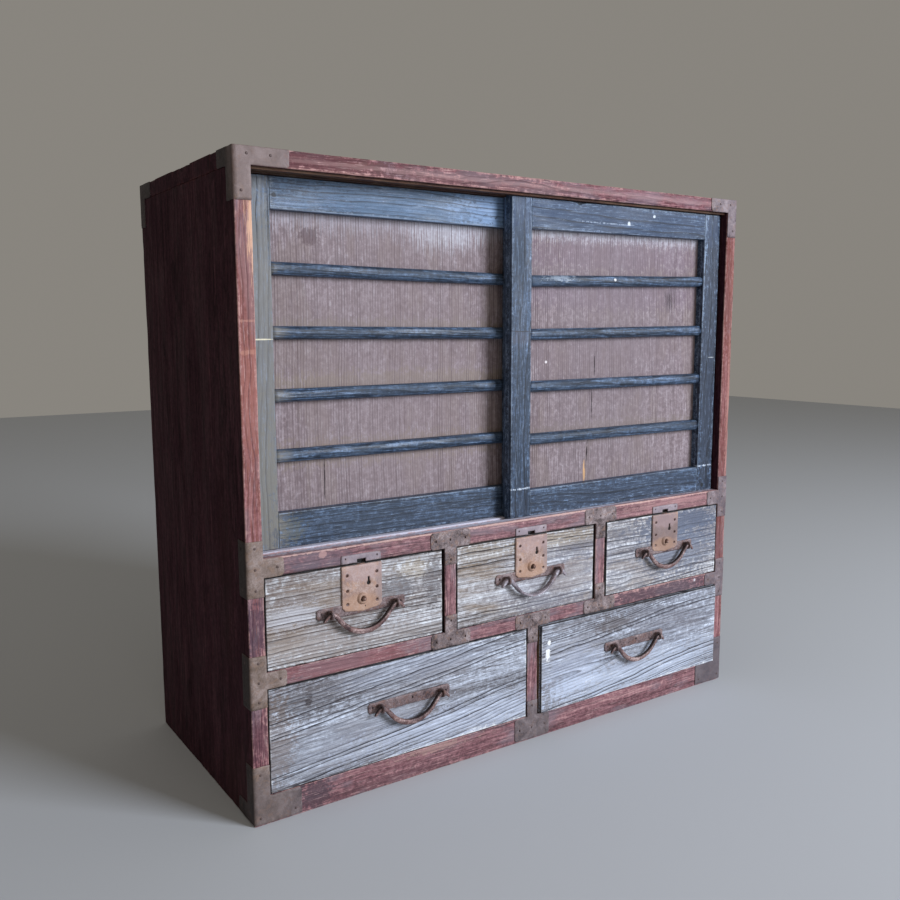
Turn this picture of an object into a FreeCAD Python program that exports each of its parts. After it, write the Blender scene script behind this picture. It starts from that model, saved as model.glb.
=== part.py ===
import FreeCAD, Part
import math
import os

# Low kitchen cabinet with two sliding doors above three small and two wide drawers.
# Millimetres. +X is to the right of someone who faces the doors, +Y is to the back, +Z is up.
# The origin lies on the floor, under the middle of the wooden carcass.

V = FreeCAD.Vector
os.makedirs("parts", exist_ok=True)

# Carcass boards
carcass_width = 900.0
carcass_depth = 385.0
carcass_height = 855.0
side_thickness = 22.0
top_thickness = 22.0
deck_thickness = 12.0
back_thickness = 7.0
back_rebate = 10.0
back_foot_gap = 6.0
housing_depth = 6.0
divider_housing = 4.0
hidden_shoulder = 6.0
bearer_width = 30.0
corner_finger_count = 5
back_board_count = 4

# Front rails and the openings between them, from the floor up
bottom_rail_height = 39.0
bottom_rail_depth = 22.0
lower_opening_height = 143.5
drawer_rail_height = 22.5
drawer_rail_depth = 40.0
upper_opening_height = 124.0
middle_rail_height = 25.0
middle_rail_depth = 64.0
rail_tenon_length = 8.0
rail_tenon_shoulder = 5.0
divider_thickness = 20.0
upper_left_opening = 274.0
upper_middle_opening = 271.0
lower_left_opening = 426.5

# Door tracks
front_door_inset = 12.0
door_pitch = 24.0
door_thickness = 21.0
tongue_thickness = 9.0
tongue_clearance = 0.5
sill_groove_depth = 3.0
head_groove_depth = 9.0
head_tongue_height = 5.0
track_drop = 3.0
track_height = 14.0
track_front_inset = 6.0
door_seat_gap = 0.3
door_shoulder_gap = 0.8

# Doors
door_side_gap = 1.0
door_overlap = 46.0
right_door_ajar = 3.5
stile_width = 37.0
door_rail_height = 44.5
door_tenon_length = 14.0
door_tenon_thickness = 6.0
door_tenon_shoulder = 8.0
panel_inset = 15.0
panel_thickness = 4.0
panel_tongue = 6.0
bar_height = 17.0
bar_inset = 1.5
bar_edge_depth = 7.0
bar_tenon_length = 6.0
bar_tenon_shoulder = 4.0
bar_count = 4

# The shelf behind the doors
shelf_thickness = 12.0
cleat_width = 16.0
cleat_height = 20.0
shelf_setback = 14.0
shelf_level_share = 0.49

# Drawers
drawer_front_thickness = 18.0
drawer_wall_thickness = 9.0
drawer_bottom_thickness = 6.0
drawer_lap = 12.0
bottom_lap = 8.0
drawer_seat_gap = 0.3
drawer_top_gap = 1.0
drawer_fit_gap = 1.0
drawer_worn_gap = 4.0
drawer_back_gap = 8.0
drawer_wall_drop = 8.0
drawer_edge_bevel = 1.5
lower_right_proud = 5.0

# Handles
handle_plate_length = 135.0
handle_plate_height = 15.0
handle_plate_thickness = 1.5
handle_plate_clip = 3.0
upper_handle_height = 62.0
lower_handle_height = 81.0
bail_rod_radius = 3.4
rod_side_count = 8
facet_count = 12
bail_half_span = 50.0
bail_drop = 30.0
bail_standoff = 9.5
bail_peak_radius = 9.0
bail_slope_angle = 50.0
bail_tip_angle = 48.0
bail_tip_length = 5.5
flat_bail_width = 12.0
flat_bail_thickness = 3.6
eye_radius = 6.6
eye_neck = 7.0
eye_thickness = 3.0
eye_clearance = 0.5

# Locks of the upper drawers
lock_shift = 2.0
lock_plate_width = 61.0
lock_plate_height = 65.0
lock_plate_thickness = 2.8
lock_plate_clip = 7.0
lock_plate_point = 3.5
lock_top_gap = 1.0
boss_radius = 8.5
boss_top_radius = 5.2
boss_height = 3.0
boss_drop = 47.0
pin_radius = 3.0
pin_clearance = 0.3
pin_proud = 4.5
pin_travel = 4.0
keyhole_offset = 10.0
keyhole_radius = 2.6
keyhole_slot_width = 2.2
keyhole_slot_height = 8.5
keyhole_drop = 27.0
bolt_width = 12.0
bolt_thickness = 3.0
bolt_clearance = 0.3
lock_pocket_width = 34.0
lock_pocket_wall = 10.0
mortise_clearance = 1.0

# Ironwork of the carcass
iron_thickness = 1.2
iron_clip = 3.0
top_iron_arm = 66.0
top_iron_leg = 63.0
bottom_iron_arm = 66.0
bottom_iron_leg = 79.0
iron_floor_gap = 2.0
side_iron_arm = 52.0
side_iron_width = 22.0
edge_iron_reach = 24.0
edge_iron_arm = 28.0
edge_iron_wrap = 24.0
tee_half_arm = 34.0
tee_stem_length = 25.0
strike_width = 60.0
strike_height = 11.5
strike_thickness = 1.5
strike_lift = 1.0
strike_notch_width = 13.5
strike_notch_height = 4.5

# One overrun serves every cut that runs past a face, and points this close share a plane
overrun = 2.0
same_plane = 0.01

# Planes that many pieces share
front = -carcass_depth / 2
back = carcass_depth / 2
back_face = back - back_thickness
outer = carcass_width / 2
inner = outer - side_thickness
top_under = carcass_height - top_thickness
drawer_rail_low = bottom_rail_height + lower_opening_height
drawer_rail_top = drawer_rail_low + drawer_rail_height
middle_rail_low = drawer_rail_top + upper_opening_height
sill = middle_rail_low + middle_rail_height
head = top_under - track_drop
rear_door_inset = front_door_inset + door_pitch
shelf_level = sill + (head - sill) * shelf_level_share
shelf_front = front + rear_door_inset + door_thickness + shelf_setback
door_width = (2 * inner - 2 * door_side_gap + door_overlap) / 2

left_divider_x = -inner + upper_left_opening + divider_thickness / 2
right_divider_x = left_divider_x + divider_thickness + upper_middle_opening
lower_divider_x = -inner + lower_left_opening + divider_thickness / 2


def box(x0, x1, y0, y1, z0, z1):
    return Part.makeBox(x1 - x0, y1 - y0, z1 - z0, V(x0, y0, z0))


def plate_xz(points, y0, y1):
    """A plate whose outline is given in X and Z, between two planes of Y."""
    corners = [V(x, y0, z) for x, z in points]
    return Part.Face(Part.makePolygon(corners + corners[:1])).extrude(V(0, y1 - y0, 0))


def plate_yz(points, x0, x1):
    """A plate whose outline is given in Y and Z, between two planes of X."""
    corners = [V(x0, y, z) for y, z in points]
    return Part.Face(Part.makePolygon(corners + corners[:1])).extrude(V(x1 - x0, 0, 0))


def forged_round(radius, centre, way, length, end_radius=None):
    """A round filed in flat facets, which tapers where an end radius is given."""
    last_radius = end_radius or radius
    start, end = [Part.makeCircle(size, middle, way).discretize(facet_count + 1)
                  for size, middle in ((radius, centre), (last_radius, centre + way * length))]
    flats = [[start[i], start[i + 1], end[i + 1], end[i], start[i]] for i in range(facet_count)]
    faces = [Part.Face(Part.makePolygon(rim)) for rim in flats + [start, end]]
    return Part.Solid(Part.Shell(faces))


def mirrored(shape):
    return shape.mirror(V(0, 0, 0), V(1, 0, 0))


def joined(shapes):
    """One clean solid out of pieces that overlap or share a face."""
    whole = shapes[0].multiFuse(shapes[1:]) if len(shapes) > 1 else shapes[0]
    return whole.removeSplitter()


def without(shape, tools):
    return shape.cut(tools).removeSplitter() if tools else shape


def save(name, solids):
    """Writes one sub-part, which is one solid or a group of separate ones."""
    found = [solid for piece in solids for solid in piece.Solids]
    shape = found[0] if len(found) == 1 else Part.makeCompound(found)
    shape.exportStep("parts/" + name + ".step")


# Carcass

def tenoned_rail(z0, z1, depth):
    """A front rail between the sides, with a hidden stub tenon at each end."""
    body = box(-inner, inner, front, front + depth, z0, z1)
    tenon = box(-inner - rail_tenon_length, inner + rail_tenon_length,
                front + hidden_shoulder, front + depth - rail_tenon_shoulder,
                z0 + rail_tenon_shoulder, z1 - rail_tenon_shoulder - sill_groove_depth)
    return joined([body, tenon])


def housed_board(y0, z_top, thickness):
    """A board whose ends sit in housings of the sides, up to the back boards."""
    reach = inner + housing_depth
    return box(-reach, reach, y0, back_face, z_top - thickness, z_top)


def make_dividers():
    """Upright boards between the drawers, housed above and below behind a plain front."""
    def divider(x, z0, z1, rail_depth, behind):
        rail_end = front + rail_depth
        start = front + hidden_shoulder
        outline = [(front, z0), (start, z0), (start, z0 - divider_housing),
                   (back_face, z0 - divider_housing), (back_face, behind + divider_housing),
                   (rail_end, behind + divider_housing), (rail_end, z1 + divider_housing),
                   (start, z1 + divider_housing), (start, z1), (front, z1)]
        return plate_yz(outline, x - divider_thickness / 2, x + divider_thickness / 2)

    floor_under = sill - deck_thickness
    deck_under = drawer_rail_top - deck_thickness
    upper = [divider(x, drawer_rail_top, middle_rail_low, middle_rail_depth, floor_under)
             for x in (left_divider_x, right_divider_x)]
    lower = divider(lower_divider_x, bottom_rail_height, drawer_rail_low,
                    drawer_rail_depth, deck_under)
    return upper, lower


def groove_plan():
    """Front and back edges of the two grooves that guide the doors, in Y."""
    edges = []
    for inset in (front_door_inset, rear_door_inset):
        middle = front + inset + door_thickness / 2
        half = tongue_thickness / 2 + tongue_clearance
        edges.append((middle - half, middle + half))
    return edges


def make_middle_rail(dividers, mortises):
    rail = tenoned_rail(middle_rail_low, sill, middle_rail_depth)
    grooves = [box(-inner, inner, y0, y1, sill - sill_groove_depth, sill + overrun)
               for y0, y1 in groove_plan()]
    return without(rail, grooves + dividers + mortises)


def make_upper_track():
    """The grooved strip above the doors, let into the underside of the top board."""
    strip = box(-inner, inner, front + track_front_inset, front + middle_rail_depth,
                head, head + track_height)
    grooves = [box(-inner, inner, y0, y1, head - overrun, head + head_groove_depth)
               for y0, y1 in groove_plan()]
    return without(strip, grooves)


def corner_fingers():
    """The fingers of the top board that pass through the sides."""
    pitch = carcass_depth / corner_finger_count
    return [box(-outer, outer, front + i * pitch, front + (i + 1) * pitch,
                top_under, carcass_height)
            for i in range(corner_finger_count) if i % 2 == 0]


def back_recess():
    reach = inner + back_rebate
    return box(-reach, reach, back_face, back + overrun, -overrun, top_under + back_rebate)


def make_top_board(track):
    board = box(-inner, inner, front, back, top_under, carcass_height)
    board = joined([board] + corner_fingers())
    housing = box(-inner, inner, track.BoundBox.YMin, track.BoundBox.YMax,
                  top_under - overrun, head + track_height)
    return without(board, [housing, back_recess()])


def make_side(housed):
    """The left side board, cut for everything that is housed in it."""
    board = box(-outer, -inner, front, back, 0, carcass_height)
    return without(board, housed + [back_recess()])


def make_back_boards():
    reach = inner + back_rebate
    low = back_foot_gap
    pitch = (top_under + back_rebate - low) / back_board_count
    return [box(-reach, reach, back_face, back, low + i * pitch, low + (i + 1) * pitch)
            for i in range(back_board_count)]


def make_shelf():
    shelf = box(-inner, inner, shelf_front, back_face, shelf_level, shelf_level + shelf_thickness)
    cleat = box(-inner, -inner + cleat_width, shelf_front, back_face,
                shelf_level - cleat_height, shelf_level)
    return shelf, [cleat, mirrored(cleat)]


def make_bearer():
    half = bearer_width / 2
    return box(lower_divider_x - half, lower_divider_x + half, front + bottom_rail_depth,
               back_face, 0, bottom_rail_height - deck_thickness)


# Ironwork of the carcass

def corner_iron(arm, leg, rail_height, z_edge, up):
    """A left corner strap: an L on the front that wraps on to the side board.

    z_edge is the outer corner's height and up is 1 at the bottom corner, -1 at the top.
    """
    clip = iron_clip
    x = -outer - iron_thickness
    x_arm = -outer + arm
    x_leg = -inner
    z_arm = z_edge + up * rail_height
    z_leg = z_edge + up * leg
    face = [(x, z_edge), (x_arm, z_edge), (x_arm, z_arm - up * clip), (x_arm - clip, z_arm),
            (x_leg, z_arm), (x_leg, z_leg), (x, z_leg)]
    y = front - iron_thickness
    y_arm = front + side_iron_arm
    y_leg = front + side_iron_width
    z_side = z_edge + up * side_iron_width
    wrap = [(y, z_edge), (y_arm, z_edge), (y_arm, z_side - up * clip), (y_arm - clip, z_side),
            (y_leg, z_side), (y_leg, z_leg), (y, z_leg)]
    return joined([plate_xz(face, y, front), plate_yz(wrap, x, -outer)])


def back_corner_iron():
    """The left strap at the top of the back: an L on the side that wraps on to the back."""
    x = -outer - iron_thickness
    y = back + iron_thickness
    y_arm = back - side_iron_arm
    y_leg = back - side_iron_width
    x_arm = -outer + side_iron_arm
    z0 = carcass_height - top_iron_leg
    z_arm = carcass_height - side_iron_width
    side = [(y, carcass_height), (y_arm, carcass_height), (y_arm, z_arm), (y_leg, z_arm),
            (y_leg, z0), (y, z0)]
    rear = [(x, carcass_height), (x_arm, carcass_height), (x_arm, z_arm), (-inner, z_arm),
            (-inner, z0), (x, z0)]
    return joined([plate_yz(side, x, -outer), plate_xz(rear, back, y)])


def edge_iron(z0, z1):
    """A strap that ties a front rail to the left side board and wraps round its edge."""
    clip = iron_clip
    x = -outer - iron_thickness
    x_arm = -inner + edge_iron_arm
    low = z0 - edge_iron_reach
    high = z1 + edge_iron_reach
    face = [(x, low), (-inner, low), (-inner, z0), (x_arm - clip, z0), (x_arm, z0 + clip),
            (x_arm, z1 - clip), (x_arm - clip, z1), (-inner, z1), (-inner, high), (x, high)]
    y = front - iron_thickness
    return joined([plate_xz(face, y, front),
                   box(x, -outer, y, front + edge_iron_wrap, low, high)])


def tee_iron(x, z0, z1, up):
    """A T strap over a divider: the arms cover the rail and the stem points up or down."""
    clip = iron_clip
    half = divider_thickness / 2
    near, far = (z1, z0) if up > 0 else (z0, z1)
    tip = near + up * tee_stem_length
    outline = [(x - tee_half_arm + clip, far), (x + tee_half_arm - clip, far),
               (x + tee_half_arm, far + up * clip), (x + tee_half_arm, near - up * clip),
               (x + tee_half_arm - clip, near), (x + half, near), (x + half, tip),
               (x - half, tip), (x - half, near), (x - tee_half_arm + clip, near),
               (x - tee_half_arm, near - up * clip), (x - tee_half_arm, far + up * clip)]
    return plate_xz(outline, front - iron_thickness, front)


def make_irons():
    top = corner_iron(top_iron_arm, top_iron_leg, top_thickness, carcass_height, -1)
    bottom = corner_iron(bottom_iron_arm, bottom_iron_leg, bottom_rail_height - iron_floor_gap,
                         iron_floor_gap, 1)
    rear = back_corner_iron()
    corners = [top, mirrored(top), bottom, mirrored(bottom), rear, mirrored(rear)]
    edges = []
    for z0, z1 in ((middle_rail_low, sill), (drawer_rail_low, drawer_rail_top)):
        strap = edge_iron(z0, z1)
        edges += [strap, mirrored(strap)]
    tees = [tee_iron(left_divider_x, middle_rail_low, sill, -1),
            tee_iron(right_divider_x, middle_rail_low, sill, -1),
            tee_iron(left_divider_x, drawer_rail_low, drawer_rail_top, 1),
            tee_iron(right_divider_x, drawer_rail_low, drawer_rail_top, 1),
            tee_iron(lower_divider_x, drawer_rail_low, drawer_rail_top, -1),
            tee_iron(lower_divider_x, iron_floor_gap, bottom_rail_height, 1)]
    return corners, edges, tees


def strike_plate(x):
    """The plate on the middle rail that the lock's bolt rises behind."""
    half = strike_width / 2
    notch = strike_notch_width / 2
    low = middle_rail_low + strike_lift
    high = low + strike_height
    outline = [(x - half, low), (x - notch, low), (x - notch, low + strike_notch_height),
               (x + notch, low + strike_notch_height), (x + notch, low), (x + half, low),
               (x + half, high), (x - half, high)]
    return plate_xz(outline, front - strike_thickness, front)


def bolt_mortise(x):
    """The pocket in the middle rail that the bolt rises into."""
    half = bolt_width / 2 + mortise_clearance
    return box(x - half, x + half, front - overrun,
               front + bolt_clearance + bolt_thickness + mortise_clearance,
               middle_rail_low - overrun, middle_rail_low + pin_travel + mortise_clearance)


# Doors

def make_bar(z, x0, x1):
    """A bar between the stiles, flat against the panel and round at the front, with its tenons."""
    half = bar_height / 2
    edge = bar_inset + bar_edge_depth
    corners = [V(x0, panel_inset, z + half), V(x0, panel_inset, z - half),
               V(x0, edge, z - half), V(x0, edge, z + half)]
    arc = Part.Arc(corners[2], V(x0, bar_inset, z), corners[3]).toShape()
    sides = [Part.makeLine(corners[0], corners[1]), Part.makeLine(corners[1], corners[2]),
             arc, Part.makeLine(corners[3], corners[0])]
    body = Part.Face(Part.Wire(sides)).extrude(V(x1 - x0, 0, 0))
    tenon = box(x0 - bar_tenon_length, x1 + bar_tenon_length, edge, panel_inset,
                z - half + bar_tenon_shoulder, z + half - bar_tenon_shoulder)
    return joined([body, tenon])


def tongued(x0, x1, z0, z1, low, high):
    """A frame piece as thick as the door, with the track tongues it carries."""
    pieces = [box(x0, x1, 0, door_thickness, z0, z1)]
    y0 = (door_thickness - tongue_thickness) / 2
    y1 = y0 + tongue_thickness
    if low:
        pieces.append(box(x0, x1, y0, y1, sill - sill_groove_depth + door_seat_gap, z0))
    if high:
        pieces.append(box(x0, x1, y0, y1, z1, head + head_tongue_height))
    return joined(pieces)


def make_door(x0, inset):
    """A framed door, built with its front face at Y zero and then moved to its track."""
    x1 = x0 + door_width
    z0 = sill + door_shoulder_gap
    z1 = head - door_shoulder_gap
    left = x0 + stile_width
    right = x1 - stile_width
    low = z0 + door_rail_height
    high = z1 - door_rail_height

    gap = (high - low - bar_count * bar_height) / (bar_count + 1)
    bars = [make_bar(low + gap * (i + 1) + bar_height * i + bar_height / 2, left, right)
            for i in range(bar_count)]
    panel = box(left - panel_tongue, right + panel_tongue, panel_inset,
                panel_inset + panel_thickness, low - panel_tongue, high + panel_tongue)

    rails = []
    middle = door_thickness / 2
    for base, crown, at_sill in ((z0, low, True), (high, z1, False)):
        rail = tongued(left, right, base, crown, at_sill, not at_sill)
        tenon = box(left - door_tenon_length, right + door_tenon_length,
                    middle - door_tenon_thickness / 2, middle + door_tenon_thickness / 2,
                    base + door_tenon_shoulder, crown - door_tenon_shoulder)
        rails.append(without(joined([rail, tenon]), [panel]))
    stiles = [without(tongued(a, b, z0, z1, True, True), rails + bars + [panel])
              for a, b in ((x0, left), (right, x1))]

    shift = V(0, front + inset, 0)
    for piece in stiles + rails + bars + [panel]:
        piece.translate(shift)
    return {"frame": stiles + rails, "bars": bars, "panel": [panel]}


# Drawers

def handle_plate(x, y, z):
    """The long plate of a handle with the two eyes that its bail hangs in."""
    half = handle_plate_length / 2
    rise = handle_plate_height / 2
    clip = handle_plate_clip
    outline = [(x - half, z - rise + clip), (x - half + clip, z - rise),
               (x + half - clip, z - rise), (x + half, z - rise + clip),
               (x + half, z + rise - clip), (x + half - clip, z + rise),
               (x - half + clip, z + rise), (x - half, z + rise - clip)]
    pieces = [plate_xz(outline, y - handle_plate_thickness, y)]
    holes = []
    for side in (-1, 1):
        x0 = x + side * bail_half_span - eye_thickness / 2
        pieces.append(eye(x0, y - handle_plate_thickness / 2, y - bail_standoff, z))
        hole_start = V(x0 - overrun, y - bail_standoff, z)
        holes.append(forged_round(bail_rod_radius + eye_clearance, hole_start, V(1, 0, 0),
                                  eye_thickness + 2 * overrun))
    return without(joined(pieces), holes)


def eye(x0, y_root, y_hole, z):
    """A flat eye on a narrow neck, which stands out from the plate with a round nose."""
    root = eye_neck / 2
    corners = [V(x0, y_root, z - root), V(x0, y_hole, z - eye_radius),
               V(x0, y_hole, z + eye_radius), V(x0, y_root, z + root)]
    nose = Part.Arc(corners[1], V(x0, y_hole - eye_radius, z), corners[2]).toShape()
    sides = [Part.makeLine(corners[0], corners[1]), nose,
             Part.makeLine(corners[2], corners[3]), Part.makeLine(corners[3], corners[0])]
    return Part.Face(Part.Wire(sides)).extrude(V(eye_thickness, 0, 0))


def bail_line(x, y, z):
    """The middle line of a bail: tip, peak in the eye, slope, wide bottom arc, and back up."""
    slope = math.radians(bail_slope_angle)
    tip = math.radians(bail_tip_angle)
    reach = bail_half_span * math.sin(slope) - bail_drop * math.cos(slope)
    bottom_radius = reach / (1 - math.cos(slope)) - bail_peak_radius
    peak = (bail_half_span, -bail_peak_radius)
    hollow = (0, bottom_radius - bail_drop)

    def on_peak(angle):
        return (peak[0] + bail_peak_radius * math.sin(angle),
                peak[1] + bail_peak_radius * math.cos(angle))

    def on_hollow(angle):
        return (hollow[0] + bottom_radius * math.sin(angle),
                hollow[1] - bottom_radius * math.cos(angle))

    end = on_peak(tip)
    tip_end = (end[0] + bail_tip_length * math.cos(tip), end[1] - bail_tip_length * math.sin(tip))

    def at(point, side=1):
        return V(x + side * point[0], y, z + point[1])

    def half(side):
        arc = Part.Arc(at(end, side), at(on_peak(0), side), at(on_peak(-slope), side)).toShape()
        return [Part.makeLine(at(tip_end, side), at(end, side)), arc,
                Part.makeLine(at(on_peak(-slope), side), at(on_hollow(slope), side))]

    bottom = Part.Arc(at(on_hollow(slope), -1), at(on_hollow(0)), at(on_hollow(slope))).toShape()
    return Part.Wire(half(-1) + [bottom] + half(1)[::-1]), at(tip_end, -1), tip, bottom_radius


def round_bail(x, y, z):
    """A bail bent from one rod, hammered to eight sides."""
    line, start, tip, _ = bail_line(x, y, z)
    across = V(-math.sin(tip), 0, math.cos(tip))
    corners = []
    for i in range(rod_side_count):
        turn = math.radians(360 * (i + 0.5) / rod_side_count)
        step = across * (bail_rod_radius * math.cos(turn))
        corners.append(start + step + V(0, bail_rod_radius * math.sin(turn), 0))
    section = Part.makePolygon(corners + corners[:1])
    return line.makePipeShell([section], True, True)


def flat_bail(x, y, z):
    """A bail whose grip is forged flat: a rod at the eyes, a broad band along the bottom."""
    rod = round_bail(x, y, z)
    slope = math.radians(bail_slope_angle)
    bottom_radius = bail_line(x, y, z)[3]
    hollow_z = z + bottom_radius - bail_drop
    ring = Part.makeCylinder(bottom_radius + flat_bail_thickness / 2, flat_bail_width,
                             V(x, y - flat_bail_width / 2, hollow_z), V(0, 1, 0))
    core = Part.makeCylinder(bottom_radius - flat_bail_thickness / 2, flat_bail_width,
                             V(x, y - flat_bail_width / 2, hollow_z), V(0, 1, 0))
    reach = bottom_radius * math.sin(slope)
    half_width = flat_bail_width / 2
    rod_edge = bail_rod_radius
    corners = [V(x - reach, y - rod_edge, 0), V(x + reach, y - rod_edge, 0),
               V(x + reach, y + rod_edge, 0), V(x - reach, y + rod_edge, 0)]
    leaf = [Part.Arc(corners[0], V(x, y - half_width, 0), corners[1]).toShape(),
            Part.makeLine(corners[1], corners[2]),
            Part.Arc(corners[2], V(x, y + half_width, 0), corners[3]).toShape(),
            Part.makeLine(corners[3], corners[0])]
    plan = Part.Face(Part.Wire(leaf)).extrude(V(0, 0, hollow_z))
    grip = ring.cut(core).common(plan)
    rod = rod.cut(plan)
    return joined([rod, grip])


def lock_plate_outline(x, top):
    half = lock_plate_width / 2
    low = top - lock_plate_height + lock_plate_point
    clip = lock_plate_clip
    return [(x - half, top), (x - half, low + clip), (x - half + clip, low),
            (x, low - lock_plate_point), (x + half - clip, low), (x + half, low + clip),
            (x + half, top)]


def make_lock(x, y, top, handle):
    """Lock plate, push pin and bolt. The pin's bevelled end lifts the bevelled foot of the bolt."""
    pin_z = top - boss_drop
    plate = plate_xz(lock_plate_outline(x, top), y - lock_plate_thickness, y)
    out = V(0, -1, 0)
    boss = forged_round(boss_radius, V(x, y - lock_plate_thickness, pin_z), out, boss_height,
                        boss_top_radius)
    bore = forged_round(pin_radius + pin_clearance, V(x, y + overrun, pin_z), out,
                        lock_plate_thickness + boss_height + 2 * overrun)
    key_x = x + keyhole_offset
    key_z = top - keyhole_drop
    key_length = lock_plate_thickness + 2 * overrun
    key_start = V(key_x, y + overrun, key_z)
    key_round = forged_round(keyhole_radius, key_start, out, key_length)
    key_slot = box(key_x - keyhole_slot_width / 2, key_x + keyhole_slot_width / 2,
                   y - lock_plate_thickness - overrun, y + overrun,
                   key_z, key_z + keyhole_slot_height)
    plate = without(joined([plate, boss]), [bore, key_round, key_slot, handle])

    pin_head = y - lock_plate_thickness - boss_height - pin_proud
    bevel_top = y + bolt_clearance
    bevel_end = bevel_top + 2 * pin_radius
    rod = forged_round(pin_radius, V(x, bevel_end, pin_z), out, bevel_end - pin_head)
    bevel = [(bevel_top, pin_z + pin_radius), (bevel_end, pin_z + pin_radius),
             (bevel_end, pin_z - pin_radius)]
    pin = without(rod, [plate_yz(bevel, x - pin_radius, x + pin_radius)])

    foot = pin_z + bolt_clearance
    bolt_front = y + bolt_clearance
    bolt_back = bolt_front + bolt_thickness
    bolt_top = top + lock_top_gap - bolt_clearance
    profile = [(bolt_front, foot + bolt_thickness), (bolt_back, foot),
               (bolt_back, bolt_top), (bolt_front, bolt_top)]
    bolt = plate_yz(profile, x - bolt_width / 2, x + bolt_width / 2)

    slot = bolt_width / 2 + bolt_clearance
    pocket_half = lock_pocket_width / 2
    pocket = box(x - pocket_half, x + pocket_half, y - overrun,
                 bevel_end + pin_travel + bolt_clearance,
                 pin_z - pin_radius - 2 * pin_clearance, top - lock_pocket_wall)
    channel = box(x - slot, x + slot, y - overrun, bolt_back + bolt_clearance,
                  pin_z, top + lock_top_gap + overrun)
    return plate, pin, bolt, [pocket, channel]


def make_drawer(x0, x1, z0, z1, left_gap, right_gap, proud, handle_height, flat, locked):
    """A drawer for the opening x0 to x1 and z0 to z1. Its front stands proud by the amount given."""
    a = x0 + left_gap
    b = x1 - right_gap
    low = z0 + drawer_seat_gap
    high = z1 - drawer_top_gap
    face = front - proud
    rear = back_face - drawer_back_gap - proud
    wall = drawer_wall_thickness
    wall_start = face + drawer_front_thickness - drawer_lap
    floor = low + drawer_bottom_thickness
    wall_top = high - drawer_wall_drop

    bottom = box(a, b, face + drawer_front_thickness - bottom_lap, rear, low, floor)
    walls = [box(a, a + wall, wall_start, rear, floor, wall_top),
             box(b - wall, b, wall_start, rear, floor, wall_top),
             box(a + wall, b - wall, rear - wall, rear, floor, wall_top)]
    board = box(a, b, face, face + drawer_front_thickness, low, high)
    board = board.makeChamfer(drawer_edge_bevel, front_edges(board, face))

    middle = (x0 + x1) / 2 + (lock_shift if locked else 0)
    handle_z = z0 + handle_height
    plate = handle_plate(middle, face, handle_z)
    shape = flat_bail if flat else round_bail
    bail = shape(middle, face - bail_standoff, handle_z)
    pieces = {"walls": walls, "bottom": [bottom], "handle_plate": [plate], "bail": [bail]}
    cuts = walls + [bottom]
    if locked:
        lock, pin, bolt, pockets = make_lock(middle, face, high - lock_top_gap, plate)
        cuts += pockets
        pieces.update({"lock_plate": [lock], "lock_pin": [pin], "lock_bolt": [bolt]})
    pieces["front"] = [without(board, cuts)]
    return pieces


def front_edges(board, face):
    """The edges round the front face of a board, whose front lies in the plane given."""
    def lies_in_front(edge):
        return all(abs(vertex.Y - face) < same_plane for vertex in edge.Vertexes)

    return [edge for edge in board.Edges if lies_in_front(edge)]


# Build
upper_dividers, lower_divider = make_dividers()
upper_openings = {"upper_left": (-inner, left_divider_x - divider_thickness / 2),
                  "upper_middle": (left_divider_x + divider_thickness / 2,
                                   right_divider_x - divider_thickness / 2),
                  "upper_right": (right_divider_x + divider_thickness / 2, inner)}
lower_openings = {"lower_left": (-inner, lower_divider_x - divider_thickness / 2),
                  "lower_right": (lower_divider_x + divider_thickness / 2, inner)}
lock_places = [(x0 + x1) / 2 + lock_shift for x0, x1 in upper_openings.values()]

middle_rail = make_middle_rail(upper_dividers, [bolt_mortise(x) for x in lock_places])
drawer_rail = without(tenoned_rail(drawer_rail_low, drawer_rail_top, drawer_rail_depth),
                      upper_dividers + [lower_divider])
bottom_rail = without(tenoned_rail(0, bottom_rail_height, bottom_rail_depth), [lower_divider])
cupboard_floor = without(housed_board(front + middle_rail_depth, sill, deck_thickness),
                         upper_dividers)
drawer_deck = without(housed_board(front + drawer_rail_depth, drawer_rail_top, deck_thickness),
                      upper_dividers + [lower_divider])
bottom_board = without(housed_board(front + bottom_rail_depth, bottom_rail_height, deck_thickness),
                       [lower_divider])
upper_track = make_upper_track()
top_board = make_top_board(upper_track)
side_left = make_side([middle_rail, drawer_rail, bottom_rail, cupboard_floor, drawer_deck,
                       bottom_board] + corner_fingers())
inner_shelf, shelf_cleats = make_shelf()
corner_irons, edge_irons, divider_irons = make_irons()

save("side_left", [side_left])
save("side_right", [mirrored(side_left)])
save("top_board", [top_board])
save("bottom_board", [bottom_board])
save("bottom_bearer", [make_bearer()])
save("back_boards", make_back_boards())
save("middle_rail", [middle_rail])
save("cupboard_floor", [cupboard_floor])
save("upper_track", [upper_track])
save("inner_shelf", [inner_shelf])
save("shelf_cleats", shelf_cleats)
save("drawer_rail", [drawer_rail])
save("drawer_deck", [drawer_deck])
save("bottom_rail", [bottom_rail])
save("upper_dividers", upper_dividers)
save("lower_divider", [lower_divider])
save("corner_irons", corner_irons)
save("edge_irons", edge_irons)
save("divider_irons", divider_irons)
save("strike_plates", [strike_plate(x) for x in lock_places])

door_places = {"door_left": (-inner + door_side_gap, rear_door_inset),
               "door_right": (inner - door_side_gap - right_door_ajar - door_width,
                              front_door_inset)}
for door, (x0, inset) in door_places.items():
    for piece, solids in make_door(x0, inset).items():
        save(door + "_" + piece, solids)

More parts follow.
